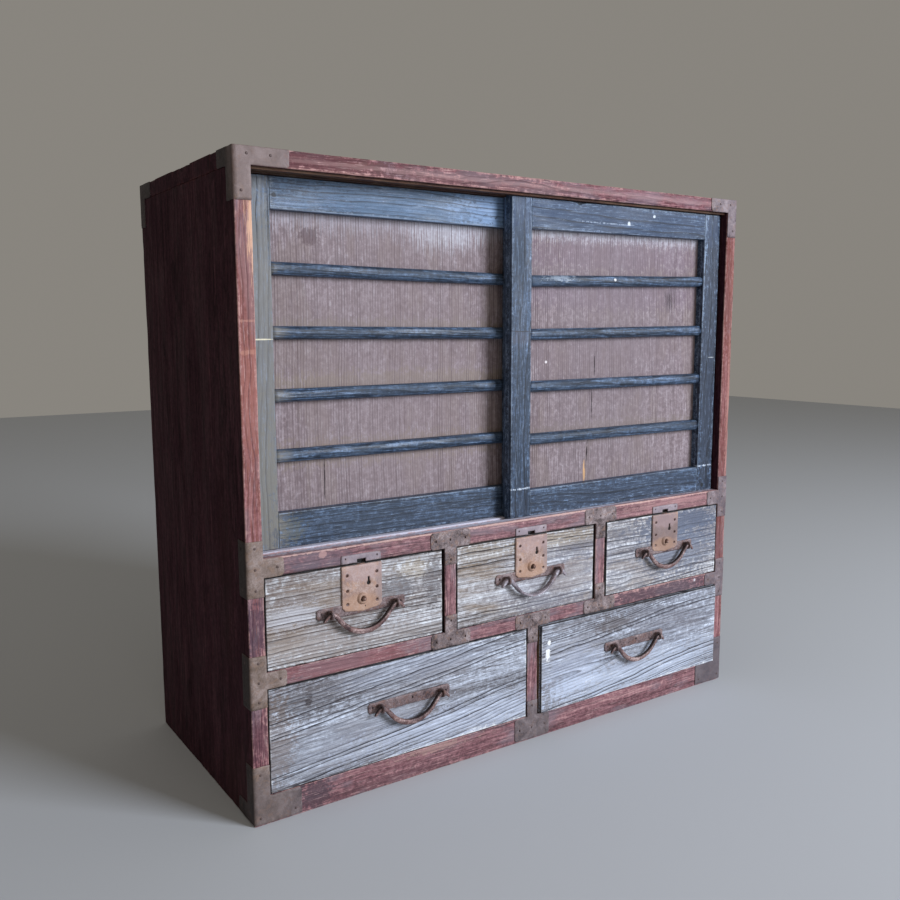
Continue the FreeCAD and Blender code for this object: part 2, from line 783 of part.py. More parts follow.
drawer_gaps = {"upper_left": (drawer_fit_gap, drawer_worn_gap),
               "upper_middle": (drawer_fit_gap, drawer_worn_gap),
               "upper_right": (drawer_worn_gap, drawer_fit_gap),
               "lower_left": (drawer_fit_gap, drawer_fit_gap),
               "lower_right": (drawer_worn_gap, drawer_fit_gap)}
for place, (x0, x1) in {**upper_openings, **lower_openings}.items():
    upper = place in upper_openings
    z0, z1 = (drawer_rail_top, middle_rail_low) if upper else (bottom_rail_height, drawer_rail_low)
    height = upper_handle_height if upper else lower_handle_height
    proud = lower_right_proud if place == "lower_right" else 0
    drawer = make_drawer(x0, x1, z0, z1, *drawer_gaps[place], proud, height,
                         place == "upper_middle", upper)
    for piece, solids in drawer.items():
        save("drawer_" + place + "_" + piece, solids)
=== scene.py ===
# Low kitchen cabinet: two sliding barred doors above five drawers, with rusted iron fittings.
import bpy
import numpy as np
from mathutils import Matrix, Vector


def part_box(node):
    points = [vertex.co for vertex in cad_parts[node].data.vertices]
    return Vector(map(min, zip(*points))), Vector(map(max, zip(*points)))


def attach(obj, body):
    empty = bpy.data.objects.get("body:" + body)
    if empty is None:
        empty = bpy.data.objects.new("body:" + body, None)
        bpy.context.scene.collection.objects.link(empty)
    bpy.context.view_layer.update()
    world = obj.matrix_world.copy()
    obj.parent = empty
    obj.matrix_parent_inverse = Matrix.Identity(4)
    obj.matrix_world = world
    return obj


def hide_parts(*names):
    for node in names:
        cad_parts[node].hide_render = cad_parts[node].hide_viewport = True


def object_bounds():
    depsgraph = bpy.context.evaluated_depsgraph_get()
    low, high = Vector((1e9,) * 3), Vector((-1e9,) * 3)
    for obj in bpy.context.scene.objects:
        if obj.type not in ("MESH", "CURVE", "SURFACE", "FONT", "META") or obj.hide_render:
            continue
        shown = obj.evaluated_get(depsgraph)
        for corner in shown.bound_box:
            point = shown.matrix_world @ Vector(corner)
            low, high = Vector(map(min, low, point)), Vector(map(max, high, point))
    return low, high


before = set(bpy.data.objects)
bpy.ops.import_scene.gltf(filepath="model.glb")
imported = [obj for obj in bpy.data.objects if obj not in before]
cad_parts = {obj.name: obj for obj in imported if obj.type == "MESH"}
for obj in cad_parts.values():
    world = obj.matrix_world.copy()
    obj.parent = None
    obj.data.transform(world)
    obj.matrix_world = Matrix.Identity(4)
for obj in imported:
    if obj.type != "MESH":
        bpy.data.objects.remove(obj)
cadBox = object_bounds()

mm = 0.001  # shapes are worked out in millimetres and stored in metres


def cadCorners(node):
    return [np.array(corner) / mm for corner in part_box(node)]


# Camera: the photograph's viewpoint, solved from the edges of the carcass

camera = dict(place=(-0.8554, -1.2490, 0.6421), yaw=33.94, pitch=7.70, roll=-0.183, lens=36.45)


def makeCamera(spec):
    yaw, pitch, roll = np.radians([spec["yaw"], spec["pitch"], spec["roll"]])
    ahead = np.array([np.sin(yaw) * np.cos(pitch), np.cos(yaw) * np.cos(pitch), -np.sin(pitch)])
    right = np.array([np.cos(yaw), -np.sin(yaw), 0])
    up = np.cross(right, ahead)
    across = right * np.cos(roll) + up * np.sin(roll)
    above = up * np.cos(roll) - right * np.sin(roll)
    data = bpy.data.cameras.new("camera")
    data.lens, data.sensor_width = spec["lens"], 36
    data.clip_end = 50
    eye = bpy.data.objects.new("camera", data)
    turn = Matrix([list(across), list(above), list(-ahead)]).transposed()
    eye.matrix_world = Matrix.Translation(spec["place"]) @ turn.to_4x4()
    bpy.context.scene.collection.objects.link(eye)
    bpy.context.scene.camera = eye


# Light: one broad soft window from the front right, a weak fill and a pale room

light = dict(
    window=dict(place=(2.05, -3.75, 1.95), aim=(0.0, -0.15, 0.45), size=(1.7, 2.1), power=245,
                colour=(236, 243, 255)),
    fill=dict(place=(-1.2, -3.2, 2.2), aim=(0.0, 0.0, 0.4), size=(2.5, 2.5), power=10,
              colour=(255, 238, 220)),
    room=(222, 216, 206), roomStrength=0.34,
    floor=(190, 193, 197), floorSize=12.0)


def linear(colour):
    # 0 to 255 screen values to the shader's own values
    share = np.array(colour, float) / 255
    value = np.where(share <= 0.04045, share / 12.92, ((share + 0.055) / 1.055) ** 2.4)
    return tuple(value) + (1.0,)


def makeLights(spec):
    for name in ("window", "fill"):
        lamp = spec[name]
        data = bpy.data.lights.new(name, "AREA")
        data.shape = "RECTANGLE"
        data.size, data.size_y = lamp["size"]
        data.energy, data.color = lamp["power"], linear(lamp["colour"])[:3]
        item = bpy.data.objects.new(name, data)
        item.location = lamp["place"]
        aim = Vector(lamp["aim"]) - Vector(lamp["place"])
        item.rotation_euler = aim.to_track_quat("-Z", "Y").to_euler()
        bpy.context.scene.collection.objects.link(item)
    world = bpy.data.worlds.new("room")
    world.use_nodes = True
    sky = world.node_tree.nodes["Background"]
    sky.inputs["Color"].default_value = linear(spec["room"])
    sky.inputs["Strength"].default_value = spec["roomStrength"]
    bpy.context.scene.world = world
    bpy.context.scene.view_settings.view_transform = "Standard"


# Random heights

def noise(u, v, seed):
    # a new random height at each whole number of u and v, eased in between
    table = np.random.default_rng(seed).uniform(-1, 1, (97, 97))
    iu, iv = np.floor(u).astype(int), np.floor(v).astype(int)
    fu, fv = u - iu, v - iv
    fu, fv = fu * fu * (3 - 2 * fu), fv * fv * (3 - 2 * fv)
    near = table[iu % 97, iv % 97] * (1 - fu) + table[(iu + 1) % 97, iv % 97] * fu
    far = table[iu % 97, (iv + 1) % 97] * (1 - fu) + table[(iu + 1) % 97, (iv + 1) % 97] * fu
    return near * (1 - fv) + far * fv


def roughNoise(u, v, seed, octaves=3):
    # noise at doubling scales, each half as high as the one before
    return sum(noise(u * 2 ** k, v * 2 ** k, seed + k) / 2 ** k for k in range(octaves))


# Surfaces. A shape is a dictionary: points in mm, faces, and values at the points for its paint.

def addPiece(name, shapes, finish, body, node):
    # joins the shapes of a piece in one mesh at the origin and hands it to its body, in the place
    # of its CAD node
    points = np.concatenate([shape["points"] for shape in shapes]) * mm
    points = np.clip(points, cadBox[0], cadBox[1])  # no nail head stands out of the CAD box
    starts = np.cumsum([0] + [len(shape["points"]) for shape in shapes])
    quads = np.concatenate([shape["quads"] + start for shape, start in zip(shapes, starts)])
    caps = [np.array(cap) + start for shape, start in zip(shapes, starts)
            for cap in shape.get("caps", [])]
    corners = np.concatenate([quads.ravel()] + caps).astype(np.int32)
    sizes = np.array([4] * len(quads) + [len(cap) for cap in caps])
    mesh = bpy.data.meshes.new(name)
    mesh.vertices.add(len(points))
    mesh.vertices.foreach_set("co", points.astype(np.float32).ravel())
    mesh.loops.add(len(corners))
    mesh.loops.foreach_set("vertex_index", corners)
    mesh.polygons.add(len(sizes))
    mesh.polygons.foreach_set("loop_start", (np.cumsum(sizes) - sizes).astype(np.int32))
    mesh.polygons.foreach_set("use_smooth", sizes == 4)
    mesh.update(calc_edges=True)
    for key in ("arris", "rings", "board", "upright", "shade"):
        values = [np.broadcast_to(shape.get(key, 0.0), len(shape["points"])) for shape in shapes]
        store = mesh.attributes.new(key, "FLOAT", "POINT")
        store.data.foreach_set("value", np.concatenate(values).astype(np.float32))
    mesh.validate()
    piece = bpy.data.objects.new(name, mesh)
    bpy.context.scene.collection.objects.link(piece)
    mesh.materials.append(finish)
    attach(piece, body)
    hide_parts(node)


def sideLines(half, radius, step):
    # places of the grid lines across one side of a board: three in each corner's bend, a few
    # beside it where the edge is worn, and even ones between
    bend = radius * (1 - np.tan(np.radians([45, 30, 15, 0])))
    beside = radius + np.array([0.6, 1.6, 3.5])
    edge = half - np.concatenate([bend, beside[beside < half * 0.8]])
    count = max(1, round(2 * edge.min() / step))
    even = np.linspace(-edge.min(), edge.min(), count + 1)
    return np.unique(np.round(np.concatenate([-edge, even, edge]), 4))


def tubeFaces(rings, sides):
    # the faces of a tube made of rings of points, and the two that close its ends
    index = np.arange(rings * sides).reshape(rings, sides)
    right = np.roll(index, -1, axis=1)
    quads = np.stack([index[:-1], right[:-1], right[1:], index[1:]], -1).reshape(-1, 4)
    return dict(quads=quads, caps=[index[0][::-1], index[-1]])


def roughened(points, way, arris, relief, nick, seed):
    # each point moved along its direction by the relief, which is lower at the arrises, less
    # nick * arris^2 * noise^1.5; the ring numbers of the relief come back too
    height, rings = np.zeros(len(points)), np.zeros(len(points))
    if relief is not None:
        lift, rings = relief(points, way)
        height += lift * (1 - 0.6 * arris)
    if nick:
        u, v = points @ [0.031, 0.047, 0.037], points @ [0.043, -0.029, 0.033]
        height -= nick * arris ** 2 * np.clip(roughNoise(u, v, seed, 4), 0, 1) ** 1.5
    return points + way * height[:, None], rings


def gapShade(points, low, high, depth, rims=()):
    # dirt and painted shade in a gap: rises from none at the front face to full within two millimetres and
    # fades again at the given depth behind it; rims names the arrises, as (axis, side), that it reaches
    behind = points[:, 1] - low[1]
    shade = np.clip((behind - 0.6) / 1.2, 0, 1) * np.clip((depth - behind) / (0.4 * depth + 1e-6), 0, 1)
    for axis, side in rims:
        edge = high[axis] - points[:, axis] if side > 0 else points[:, axis] - low[axis]
        shade = np.maximum(shade, np.clip((1.9 - edge) / 1.2, 0, 1) * np.clip((4 - behind) / 2, 0, 1))
    return shade


def plank(low, high, radius=0.8, step=(20, 20, 20), relief=None, nick=0.0, wear=2.5, board=0.0,
          upright=0.0, gap=0.0, rims=(), pit=None):
    # a board with round arrises: the grid on a box, where each point p becomes
    # q + radius * (p - q) / |p - q|, q being the nearest point of the box less its radius.
    # relief(points, way) then lifts it along that direction, and nick bites into the arrises. A pit
    # is a round hollow in the front: y grows by its depth within its radius of its centre, and its hollow
    # is painted with shade.
    low, high = np.array(low, float), np.array(high, float)
    half, middle = (high - low) / 2, (high + low) / 2
    lines = [sideLines(half[k], radius, step[k]) for k in range(3)]
    if pit:
        near = np.arange(-pit["radius"] - 1.6, pit["radius"] + 1.7, 0.8)
        for k in (0, 2):
            centre = pit["at"][k] - middle[k]
            far = lines[k][np.abs(lines[k] - centre) > pit["radius"] + 2]
            lines[k] = np.sort(np.concatenate([far, centre + near]))
    sides, quads, total = [], [], 0
    for k in range(3):
        i, j = (k + 1) % 3, (k + 2) % 3
        u, v = np.meshgrid(lines[i], lines[j], indexing="ij")
        for side in (-1, 1):
            face = np.empty(u.shape + (3,))
            face[..., i], face[..., j], face[..., k] = u, v, side * half[k]
            index = np.arange(u.size).reshape(u.shape) + total
            ring = [index[:-1, :-1], index[1:, :-1], index[1:, 1:], index[:-1, 1:]][::side]
            quads.append(np.stack(ring, -1).reshape(-1, 4))
            sides.append(face.reshape(-1, 3))
            total += u.size
    points, where = np.unique(np.round(np.concatenate(sides), 3), axis=0, return_inverse=True)
    edgeGap = np.sort(half - np.abs(points), axis=1)[:, 1]
    arris = np.exp(-edgeGap / wear)
    core = np.clip(points, radius - half, half - radius)
    way = (points - core) / np.linalg.norm(points - core, axis=1)[:, None]
    placed = core + radius * way + middle
    shade = gapShade(placed, low, high, gap, rims) if gap or rims else 0.0
    placed, rings = roughened(placed, way, arris, relief, nick, 11)
    if pit:
        reach = np.hypot(placed[:, 0] - pit["at"][0], placed[:, 2] - pit["at"][2])
        inside = np.clip((pit["radius"] - reach) / 0.8, 0, 1) * (way[:, 1] < -0.9)
        placed[:, 1] += pit["depth"] * inside
        # the pit's hollow is painted dark as shade
        shade = np.maximum(shade, inside)
    return dict(points=placed, quads=where.ravel()[np.concatenate(quads)],
                arris=arris, rings=rings, board=board, upright=upright, shade=shade)


def roundOutline(corners, radius, step, bend=4):
    # a closed outline run anticlockwise: each corner C becomes the curve
    # (1-t)^2 A + 2t(1-t) C + t^2 B between points A and B near it, and the sides get even points
    corners = np.array(corners, float)
    before, after = np.roll(corners, 1, axis=0), np.roll(corners, -1, axis=0)
    reach = np.minimum(np.linalg.norm(corners - before, axis=1),
                       np.linalg.norm(after - corners, axis=1)) * 0.45
    reach = np.minimum(reach, radius)[:, None]
    start = corners + (before - corners) / np.linalg.norm(before - corners, axis=1)[:, None] * reach
    end = corners + (after - corners) / np.linalg.norm(after - corners, axis=1)[:, None] * reach
    t = np.linspace(0, 1, bend)[:, None]
    runs = []
    for a, corner, b, nextA in zip(start, corners, end, np.roll(start, -1, axis=0)):
        runs.append((1 - t) ** 2 * a + 2 * t * (1 - t) * corner + t ** 2 * b)
        count = int(np.linalg.norm(nextA - b) / step)
        share = np.linspace(0, 1, count + 2)[1:-1, None]
        runs.append(b + (nextA - b) * share)
    outline = np.concatenate(runs)
    gap = np.roll(outline, -1, axis=0) - outline
    return outline[np.linalg.norm(gap, axis=1) > 1e-4], corners


def carried(outline, stations, radius, relief, board, nick=0.0, wear=2.5):
    # an outline carried along X; its ends are closed and drawn in by their radius
    flat, corners = outline
    ahead, behind = np.roll(flat, -1, axis=0), np.roll(flat, 1, axis=0)
    run = (ahead - behind) / np.linalg.norm(ahead - behind, axis=1)[:, None]
    outward = np.stack([0 * run[:, 0], run[:, 1], -run[:, 0]], 1)
    turn = np.radians([0, 30, 60, 90])
    inset, shift = radius * (1 - np.sin(turn)), radius * (1 - np.cos(turn))
    first, last = stations[0], stations[-1]
    inner = stations[(stations > first + radius * 1.5) & (stations < last - radius * 1.5)]
    places = np.concatenate([first + shift, inner, (last - shift)[::-1]])
    drawn = np.concatenate([inset, np.zeros(len(inner)), inset[::-1]])
    if radius == 0:
        places, drawn = np.concatenate([[first], inner, [last]]), np.zeros(len(inner) + 2)
    m, n = len(places), len(flat)
    points = np.stack([np.broadcast_to(places[:, None], (m, n)), np.broadcast_to(flat[:, 0], (m, n)),
                       np.broadcast_to(flat[:, 1], (m, n))], -1)
    points = (points - outward * drawn[:, None, None]).reshape(-1, 3)
    cornerGap = np.linalg.norm(flat[:, None] - corners[None], axis=2).min(1)
    arris = np.tile(np.exp(-cornerGap / wear), m)
    points, rings = roughened(points, np.tile(outward, (m, 1)), arris, relief, nick, 17)
    return dict(tubeFaces(m, n), points=points, arris=arris, rings=rings, board=board)


def evenStations(start, end, step):
    return np.linspace(start, end, max(2, round(abs(end - start) / step) + 1))


def insideOutline(outline, u, v):
    # a point lies inside where a ray from it crosses the outline an odd number of times
    a, b = outline, np.roll(outline, -1, axis=0)
    u, v = u[..., None], v[..., None]
    crosses = (a[:, 1] > v) != (b[:, 1] > v)
    rise = np.where(a[:, 1] == b[:, 1], 1.0, b[:, 1] - a[:, 1])
    meets = a[:, 0] + (v - a[:, 1]) * (b[:, 0] - a[:, 0]) / rise
    return (crosses & (u < meets)).sum(-1) % 2 == 1


def nearestOnOutline(outline, points):
    # the nearest point of the outline's straight runs to each point, and how far it is
    a, b = outline, np.roll(outline, -1, axis=0)
    run = b - a
    share = ((points[:, None] - a) * run).sum(-1) / np.maximum((run ** 2).sum(-1), 1e-9)
    foot = a + run * np.clip(share, 0, 1)[..., None]
    gap = np.linalg.norm(foot - points[:, None], axis=-1)
    best = gap.argmin(1)
    rows = np.arange(len(points))
    return foot[rows, best], gap[rows, best]


def sheetLines(values, step):
    # lines through every value that the outline uses, a second one close inside, even ones between
    marks = np.unique(np.round(np.concatenate([values, values + 0.7, values - 0.7]), 4))
    marks = marks[(marks >= values.min() - 1e-6) & (marks <= values.max() + 1e-6)]
    lines = [marks[:1]]
    for start, end in zip(marks[:-1], marks[1:]):
        lines.append(np.linspace(start, end, max(1, int(np.ceil((end - start) / step))) + 1)[1:])
    lines = np.concatenate(lines)
    return lines[np.concatenate([[True], np.diff(lines) > 0.05])]


def cutSheet(outline, thickness, place, seed, step, holes=(), wobble=0.15, ragged=0.0):
    # a plate cut to an outline: a grid whose cells lie inside it, with the points of its rim
    # drawn on to it, a front that waves a little and falls off at the rim, a back and an edge.
    # place(u, v, w) puts it in the room, w being the height over the plate's back.
    outline = np.array(outline, float)
    ends = np.concatenate([outline] + [np.array([h.min(0), h.max(0)]) for h in holes])
    u, v = np.meshgrid(*(sheetLines(np.unique(ends[:, k]), step) for k in (0, 1)), indexing="ij")
    cellU, cellV = (u[1:, 1:] + u[:-1, :-1]) / 2, (v[1:, 1:] + v[:-1, :-1]) / 2
    kept = insideOutline(outline, cellU, cellV)
    for hole in holes:
        kept &= ~insideOutline(hole, cellU, cellV)
    index = np.arange(u.size).reshape(u.shape)
    cells = np.stack([index[:-1, :-1], index[1:, :-1], index[1:, 1:], index[:-1, 1:]], -1)[kept]
    used, flat = np.unique(cells, return_inverse=True)
    cells = flat.reshape(-1, 4)
    flatPoints = np.stack([u.ravel(), v.ravel()], 1)[used]
    edges = np.stack([cells, np.roll(cells, -1, axis=1)], -1).reshape(-1, 2)
    key = np.sort(edges, axis=1)
    _, first, counts = np.unique(key[:, 0] * len(used) + key[:, 1], return_index=True, return_counts=True)
    rim = edges[first[counts == 1]]
    onRim = np.zeros(len(used), bool)
    onRim[rim] = True
    foot, gap = nearestOnOutline(outline, flatPoints[onRim])
    for hole in holes:
        holeFoot, holeGap = nearestOnOutline(hole, flatPoints[onRim])
        nearer = holeGap < gap
        foot[nearer], gap[nearer] = holeFoot[nearer], holeGap[nearer]
    snapped = flatPoints.copy()
    snapped[onRim] = np.where((gap < 1.5 * step)[:, None], foot, flatPoints[onRim])
    if ragged:
        shift = ragged * np.stack([roughNoise(snapped[:, 1] / 5, snapped[:, 0] / 5, seed + 3),
                                   roughNoise(snapped[:, 0] / 5, snapped[:, 1] / 5, seed + 5)], 1)
        snapped[onRim] += shift[onRim]
    wave = wobble * roughNoise(snapped[:, 0] / 14, snapped[:, 1] / 14, seed)
    front = thickness * np.where(onRim, 0.72, 1.0) + wave
    top = place(snapped[:, 0], snapped[:, 1], front)
    back = place(snapped[:, 0], snapped[:, 1], np.zeros(len(snapped)))
    n = len(used)
    walls = np.stack([rim[:, 0], rim[:, 0] + n, rim[:, 1] + n, rim[:, 1]], -1)
    arris = np.concatenate([onRim, onRim]).astype(float)
    return dict(points=np.concatenate([top, back]), arris=arris,
                quads=np.concatenate([cells, cells[:, ::-1] + n, walls]))


def revolved(profile, centre, axis, sides):
    # a profile of (radius, height) pairs turned about an axis through the centre: point =
    # centre + radius (cos a, sin a) + height, with a small flat face at each end
    profile = np.array(profile, float)
    angle = np.arange(sides) * 2 * np.pi / sides
    axis = np.array(axis, float)
    first = np.cross(axis, [0.0, 0.0, 1.0])
    around = np.cos(angle)[:, None] * first + np.sin(angle)[:, None] * np.cross(axis, first)
    rings = centre + profile[:, 0, None, None] * around[None] + profile[:, 1, None, None] * axis
    return dict(tubeFaces(len(profile), sides), points=rings.reshape(-1, 3))


def studs(places, radius, height, axis, sides=10, sink=0.6):
    # domed nail heads: the same quarter circle turned about each place
    turn = np.radians([0, 35, 65])
    profile = [(radius, -sink)] + [(radius * np.cos(a), height * np.sin(a)) for a in turn]
    profile.append((radius * 0.12, height))
    shapes = []
    for k, place in enumerate(places):
        size = 1 + 0.12 * noise(k * 1.7, 0.5, 31)
        shape = revolved(np.array(profile) * size, np.array(place, float), axis, sides)
        shapes.append(dict(shape, arris=1.0, board=0.5))
    return shapes


def sweptRod(path, wide, deep, sides, power, seed, hammer):
    # rings carried along a path in the X-Z plane: point = path + wide cos(a) across it + deep
    # sin(a) along Y, with the corners of each ring as full as power says; both ends are rounded
    step = np.gradient(path, axis=0)
    step /= np.linalg.norm(step, axis=1)[:, None]
    across = np.stack([-step[:, 2], np.zeros(len(step)), step[:, 0]], 1)
    angle = np.arange(sides) * 2 * np.pi / sides
    c, s = np.cos(angle), np.sin(angle)
    c, s = np.sign(c) * np.abs(c) ** (2 / power), np.sign(s) * np.abs(s) ** (2 / power)
    walked = np.concatenate([[0], np.cumsum(np.linalg.norm(np.diff(path, axis=0), axis=1))])
    dent = 1 + hammer * noise(walked[:, None] / 4, np.broadcast_to(angle * 1.3, (len(path), sides)), seed)
    rings = (path[:, None] + (wide[:, None] * c * dent)[..., None] * across[:, None]
             + (deep[:, None] * s * dent)[..., None] * np.array([0.0, -1.0, 0.0]))
    turn = np.radians([90, 60, 30])
    starts = [path[0] + (rings[0] - path[0]) * np.cos(a) - step[0] * deep[0] * np.sin(a) for a in turn]
    ends = [path[-1] + (rings[-1] - path[-1]) * np.cos(a) + step[-1] * deep[-1] * np.sin(a)
            for a in turn[::-1]]
    starts[0] += (rings[0] - path[0]) * 0.08
    ends[-1] += (rings[-1] - path[-1]) * 0.08
    rings = np.concatenate([starts, rings, ends])
    return dict(tubeFaces(len(rings), sides), points=rings.reshape(-1, 3))


def flipped(shape, axis):
    # the mirror image across the plane through the origin, with its faces still outward
    turned = dict(shape)
    turned["points"] = shape["points"] * np.where(np.arange(3) == axis, -1, 1)
    turned["quads"] = shape["quads"][:, ::-1]
    turned["caps"] = [np.array(cap)[::-1] for cap in shape.get("caps", [])]
    return turned


# Node helpers

def addNode(tree, kind, inputs=None, **settings):
    made = tree.nodes.new("ShaderNode" + kind)
    for key, value in settings.items():
        setattr(made, key, value)
    for key, value in (inputs or {}).items():
        if isinstance(value, bpy.types.NodeSocket):
            tree.links.new(value, made.inputs[key])
        else:
            made.inputs[key].default_value = value
    return made


def math(tree, operation, a, b=0.0, clamp=False):
    return addNode(tree, "Math", {0: a, 1: b}, operation=operation, use_clamp=clamp).outputs[0]


def vectors(tree, operation, a, b):
    return addNode(tree, "VectorMath", {0: a, 1: b}, operation=operation).outputs[0]


def plus(tree, a, b):
    return math(tree, "ADD", a, b)


def times(tree, a, b):
    return math(tree, "MULTIPLY", a, b)


def strayed(tree, value, noise, reach):
    # value + (noise - 0.5) * reach
    return plus(tree, value, times(tree, math(tree, "SUBTRACT", noise, 0.5), reach))


def weighted(tree, shares):
    # the sum of each value times its weight
    parts = [times(tree, value, weight) for value, weight in shares]
    total = parts[0]
    for part in parts[1:]:
        total = plus(tree, total, part)
    return total


def attribute(tree, name):
    return addNode(tree, "Attribute", attribute_name=name).outputs["Fac"]


def stretched(tree, where, frequency):
    # frequency is how many noise cells there are to the metre, or that along X, Y and Z
    return vectors(tree, "MULTIPLY", where, tuple(np.broadcast_to(frequency, 3)))


def cloud(tree, where, frequency, detail, roughness, distortion=0.0):
    return addNode(tree, "TexNoise", {
        "Vector": stretched(tree, where, frequency), "Scale": 1.0, "Detail": detail,
        "Roughness": roughness, "Distortion": distortion}).outputs["Fac"]


def between(tree, value, low, high):
    # 0 below low, 1 above high, eased in between
    return addNode(tree, "MapRange", {"Value": value, "From Min": low, "From Max": high},
                   interpolation_type="SMOOTHSTEP").outputs["Result"]


def blendColours(tree, share, a, b):
    made = addNode(tree, "Mix", {0: share}, data_type="RGBA")
    for socket, value in ((6, a), (7, b)):
        if isinstance(value, bpy.types.NodeSocket):
            tree.links.new(value, made.inputs[socket])
        else:
            made.inputs[socket].default_value = linear(value)
    return made.outputs[2]


def colourRamp(tree, value, stops):
    stops = list(stops)
    ramp = addNode(tree, "ValToRGB", {"Fac": value})
    ramp.color_ramp.interpolation = "EASE"
    while len(ramp.color_ramp.elements) < len(stops):
        ramp.color_ramp.elements.new(1.0)
    for element, (position, colour) in zip(ramp.color_ramp.elements, stops):
        element.position, element.color = position, linear(colour)
    return ramp.outputs["Color"]


def newPaint(name):
    paint = bpy.data.materials.new(name)
    paint.use_nodes = True
    paint.node_tree.nodes.clear()
    return paint, paint.node_tree


bumpDepth = 0.6  # mm


def finishPaint(tree, colour, roughness, height, bump, specular, metallic=0.0):
    relief = addNode(tree, "Bump", {"Strength": bump, "Distance": bumpDepth * mm, "Height": height})
    surface = addNode(tree, "BsdfPrincipled", {
        "Base Color": colour, "Roughness": roughness, "Metallic": metallic,
        "Specular IOR Level": specular, "Normal": relief.outputs["Normal"]})
    addNode(tree, "OutputMaterial", {"Surface": surface.outputs["BSDF"]})


def roughnessFrom(tree, noise, low, high, ends):
    # from one end to the other, as the noise runs from low to high
    return plus(tree, ends[0], times(tree, between(tree, noise, low, high), ends[1] - ends[0]))


def markAt(tree, where, colour, mark, noise):
    # a patch of colour round a place: full within its size, broken at its rim by the noise
    usual = dict(ragged=1.0, soft=0.25)
    mark = dict(usual, **mark)
    share = vectors(tree, "SUBTRACT", where, tuple(np.array(mark["at"]) * mm))
    share = stretched(tree, share, 1 / (np.array(mark["size"]) * mm))
    reach = addNode(tree, "VectorMath", {0: share}, operation="LENGTH").outputs["Value"]
    reach = strayed(tree, reach, noise, mark["ragged"])
    mask = between(tree, reach, 1.0 + mark["soft"], 1.0 - mark["soft"])
    return blendColours(tree, times(tree, mask, mark["strength"]), colour, mark["colour"])


# Wood finishes: colours are screen values, from 0 to 255. Stops are the colours from dark to light,
# spread says how far the tone's noise strays between them.

# dark maroon lacquer, its darkness partly painted shade of the sides that face away from the light
sideFinish = dict(name="sideLacquer", stops=((31, 16, 21), (53, 29, 37), (70, 41, 50), (92, 57, 64)),
                  spread=1.0, mottle=0.3, blotch=0.1, line=(12, 4, 8), lineShare=0.5, sharp=3,
                  scuff=(84, 52, 50), scuffShare=0.3, patch=(42, 25, 32), patchShare=0.3,
                  wear=(92, 50, 46), wearShare=0.3, roughness=(0.6, 0.8), gloss=0.05, bump=0.5)
railFinish = dict(name="railLacquer",
                  stops=((68, 40, 46), (110, 71, 76), (140, 97, 102), (176, 134, 134)), spread=1.4,
                  mottle=0.3, blotch=0.1, line=(58, 34, 43), lineShare=0.6, sharp=4,
                  scuff=(204, 172, 168), scuffShare=0.4, patch=(124, 112, 120), patchShare=0.6,
                  wear=(204, 162, 152), wearShare=0.38, roughness=(0.42, 0.68), gloss=0.4, bump=0.8,
                  deep=0.9)
doorFinish = dict(name="doorPaint", stops=((17, 28, 42), (35, 51, 70), (57, 76, 101), (100, 124, 156)),
                  spread=1.4, mottle=0.36, blotch=0.1, line=(12, 20, 33), lineShare=0.85, sharp=2.6,
                  scuff=(146, 168, 198), scuffShare=0.36, patch=(84, 98, 116), patchShare=0.25,
                  wear=(140, 156, 176), wearShare=0.5, roughness=(0.36, 0.62), gloss=0.4, bump=0.8)
panelFinish = dict(name="panelWood",
                   stops=((88, 72, 74), (123, 108, 111), (148, 134, 138), (172, 162, 166)),
                   spread=0.62, mottle=0.7, blotch=0.3, line=(66, 50, 52), lineShare=0.7, sharp=3.5,
                   scuff=(184, 178, 184), scuffShare=0.3, patch=(136, 122, 116), patchShare=0.4,
                   wear=(160, 150, 156), wearShare=0.2, roughness=(0.62, 0.85), gloss=0.25, bump=0.8)
innerFinish = dict(name="innerWood",
                   stops=((84, 62, 46), (118, 92, 68), (142, 114, 86), (166, 140, 110)), spread=1.0,
                   mottle=0.3, blotch=0.1, line=(86, 62, 44), lineShare=0.5, sharp=2.5,
                   scuff=(170, 150, 126), scuffShare=0.25, patch=(112, 94, 76), patchShare=0.4,
                   wear=(164, 146, 122), wearShare=0.2, roughness=(0.66, 0.88), gloss=0.25, bump=0.5)
trackFinish = dict(innerFinish, name="trackWood",
                   stops=((34, 20, 18), (58, 36, 30), (84, 54, 42), (120, 84, 62)))
boxFinish = dict(innerFinish, name="drawerBoxWood",
                 stops=((96, 74, 54), (132, 104, 78), (156, 128, 98), (180, 152, 120)))
# the pale wear on the fronts' arrises is partly wear and partly a painted highlight of the lit edges
upperFinish = dict(name="upperFrontWood",
                   stops=((88, 78, 74), (142, 136, 135), (182, 181, 184), (224, 228, 234)),
                   spread=1.35, mottle=0.26, blotch=0.07, line=(44, 35, 33), lineShare=1.0, sharp=2.4,
                   scuff=(226, 230, 238), scuffShare=0.3, patch=(150, 128, 102), patchShare=0.42,
                   wear=(236, 237, 238), wearShare=0.75, roughness=(0.55, 0.8), gloss=0.3, bump=0.9,
                   deep=0.94)
lowerFinish = dict(upperFinish, name="lowerFrontWood",
                   stops=((82, 78, 82), (134, 136, 144), (176, 182, 195), (220, 230, 246)),
                   line=(40, 37, 43), patch=(124, 118, 120), patchShare=0.4)

# how many cells of each noise there are to the metre along the grain and across it, and its share
# of the tone
grain = dict(fibre=(24.0, 1150.0, 0.42), streak=(8.0, 330.0, 0.30), band=(3.0, 70.0, 0.22),
             patch=(7.0, 24.0), scuff=(40.0, 800.0), blotch=(52.0, 120.0), mottle=150.0, speck=560.0,
             waver=(9.0, 0.004))
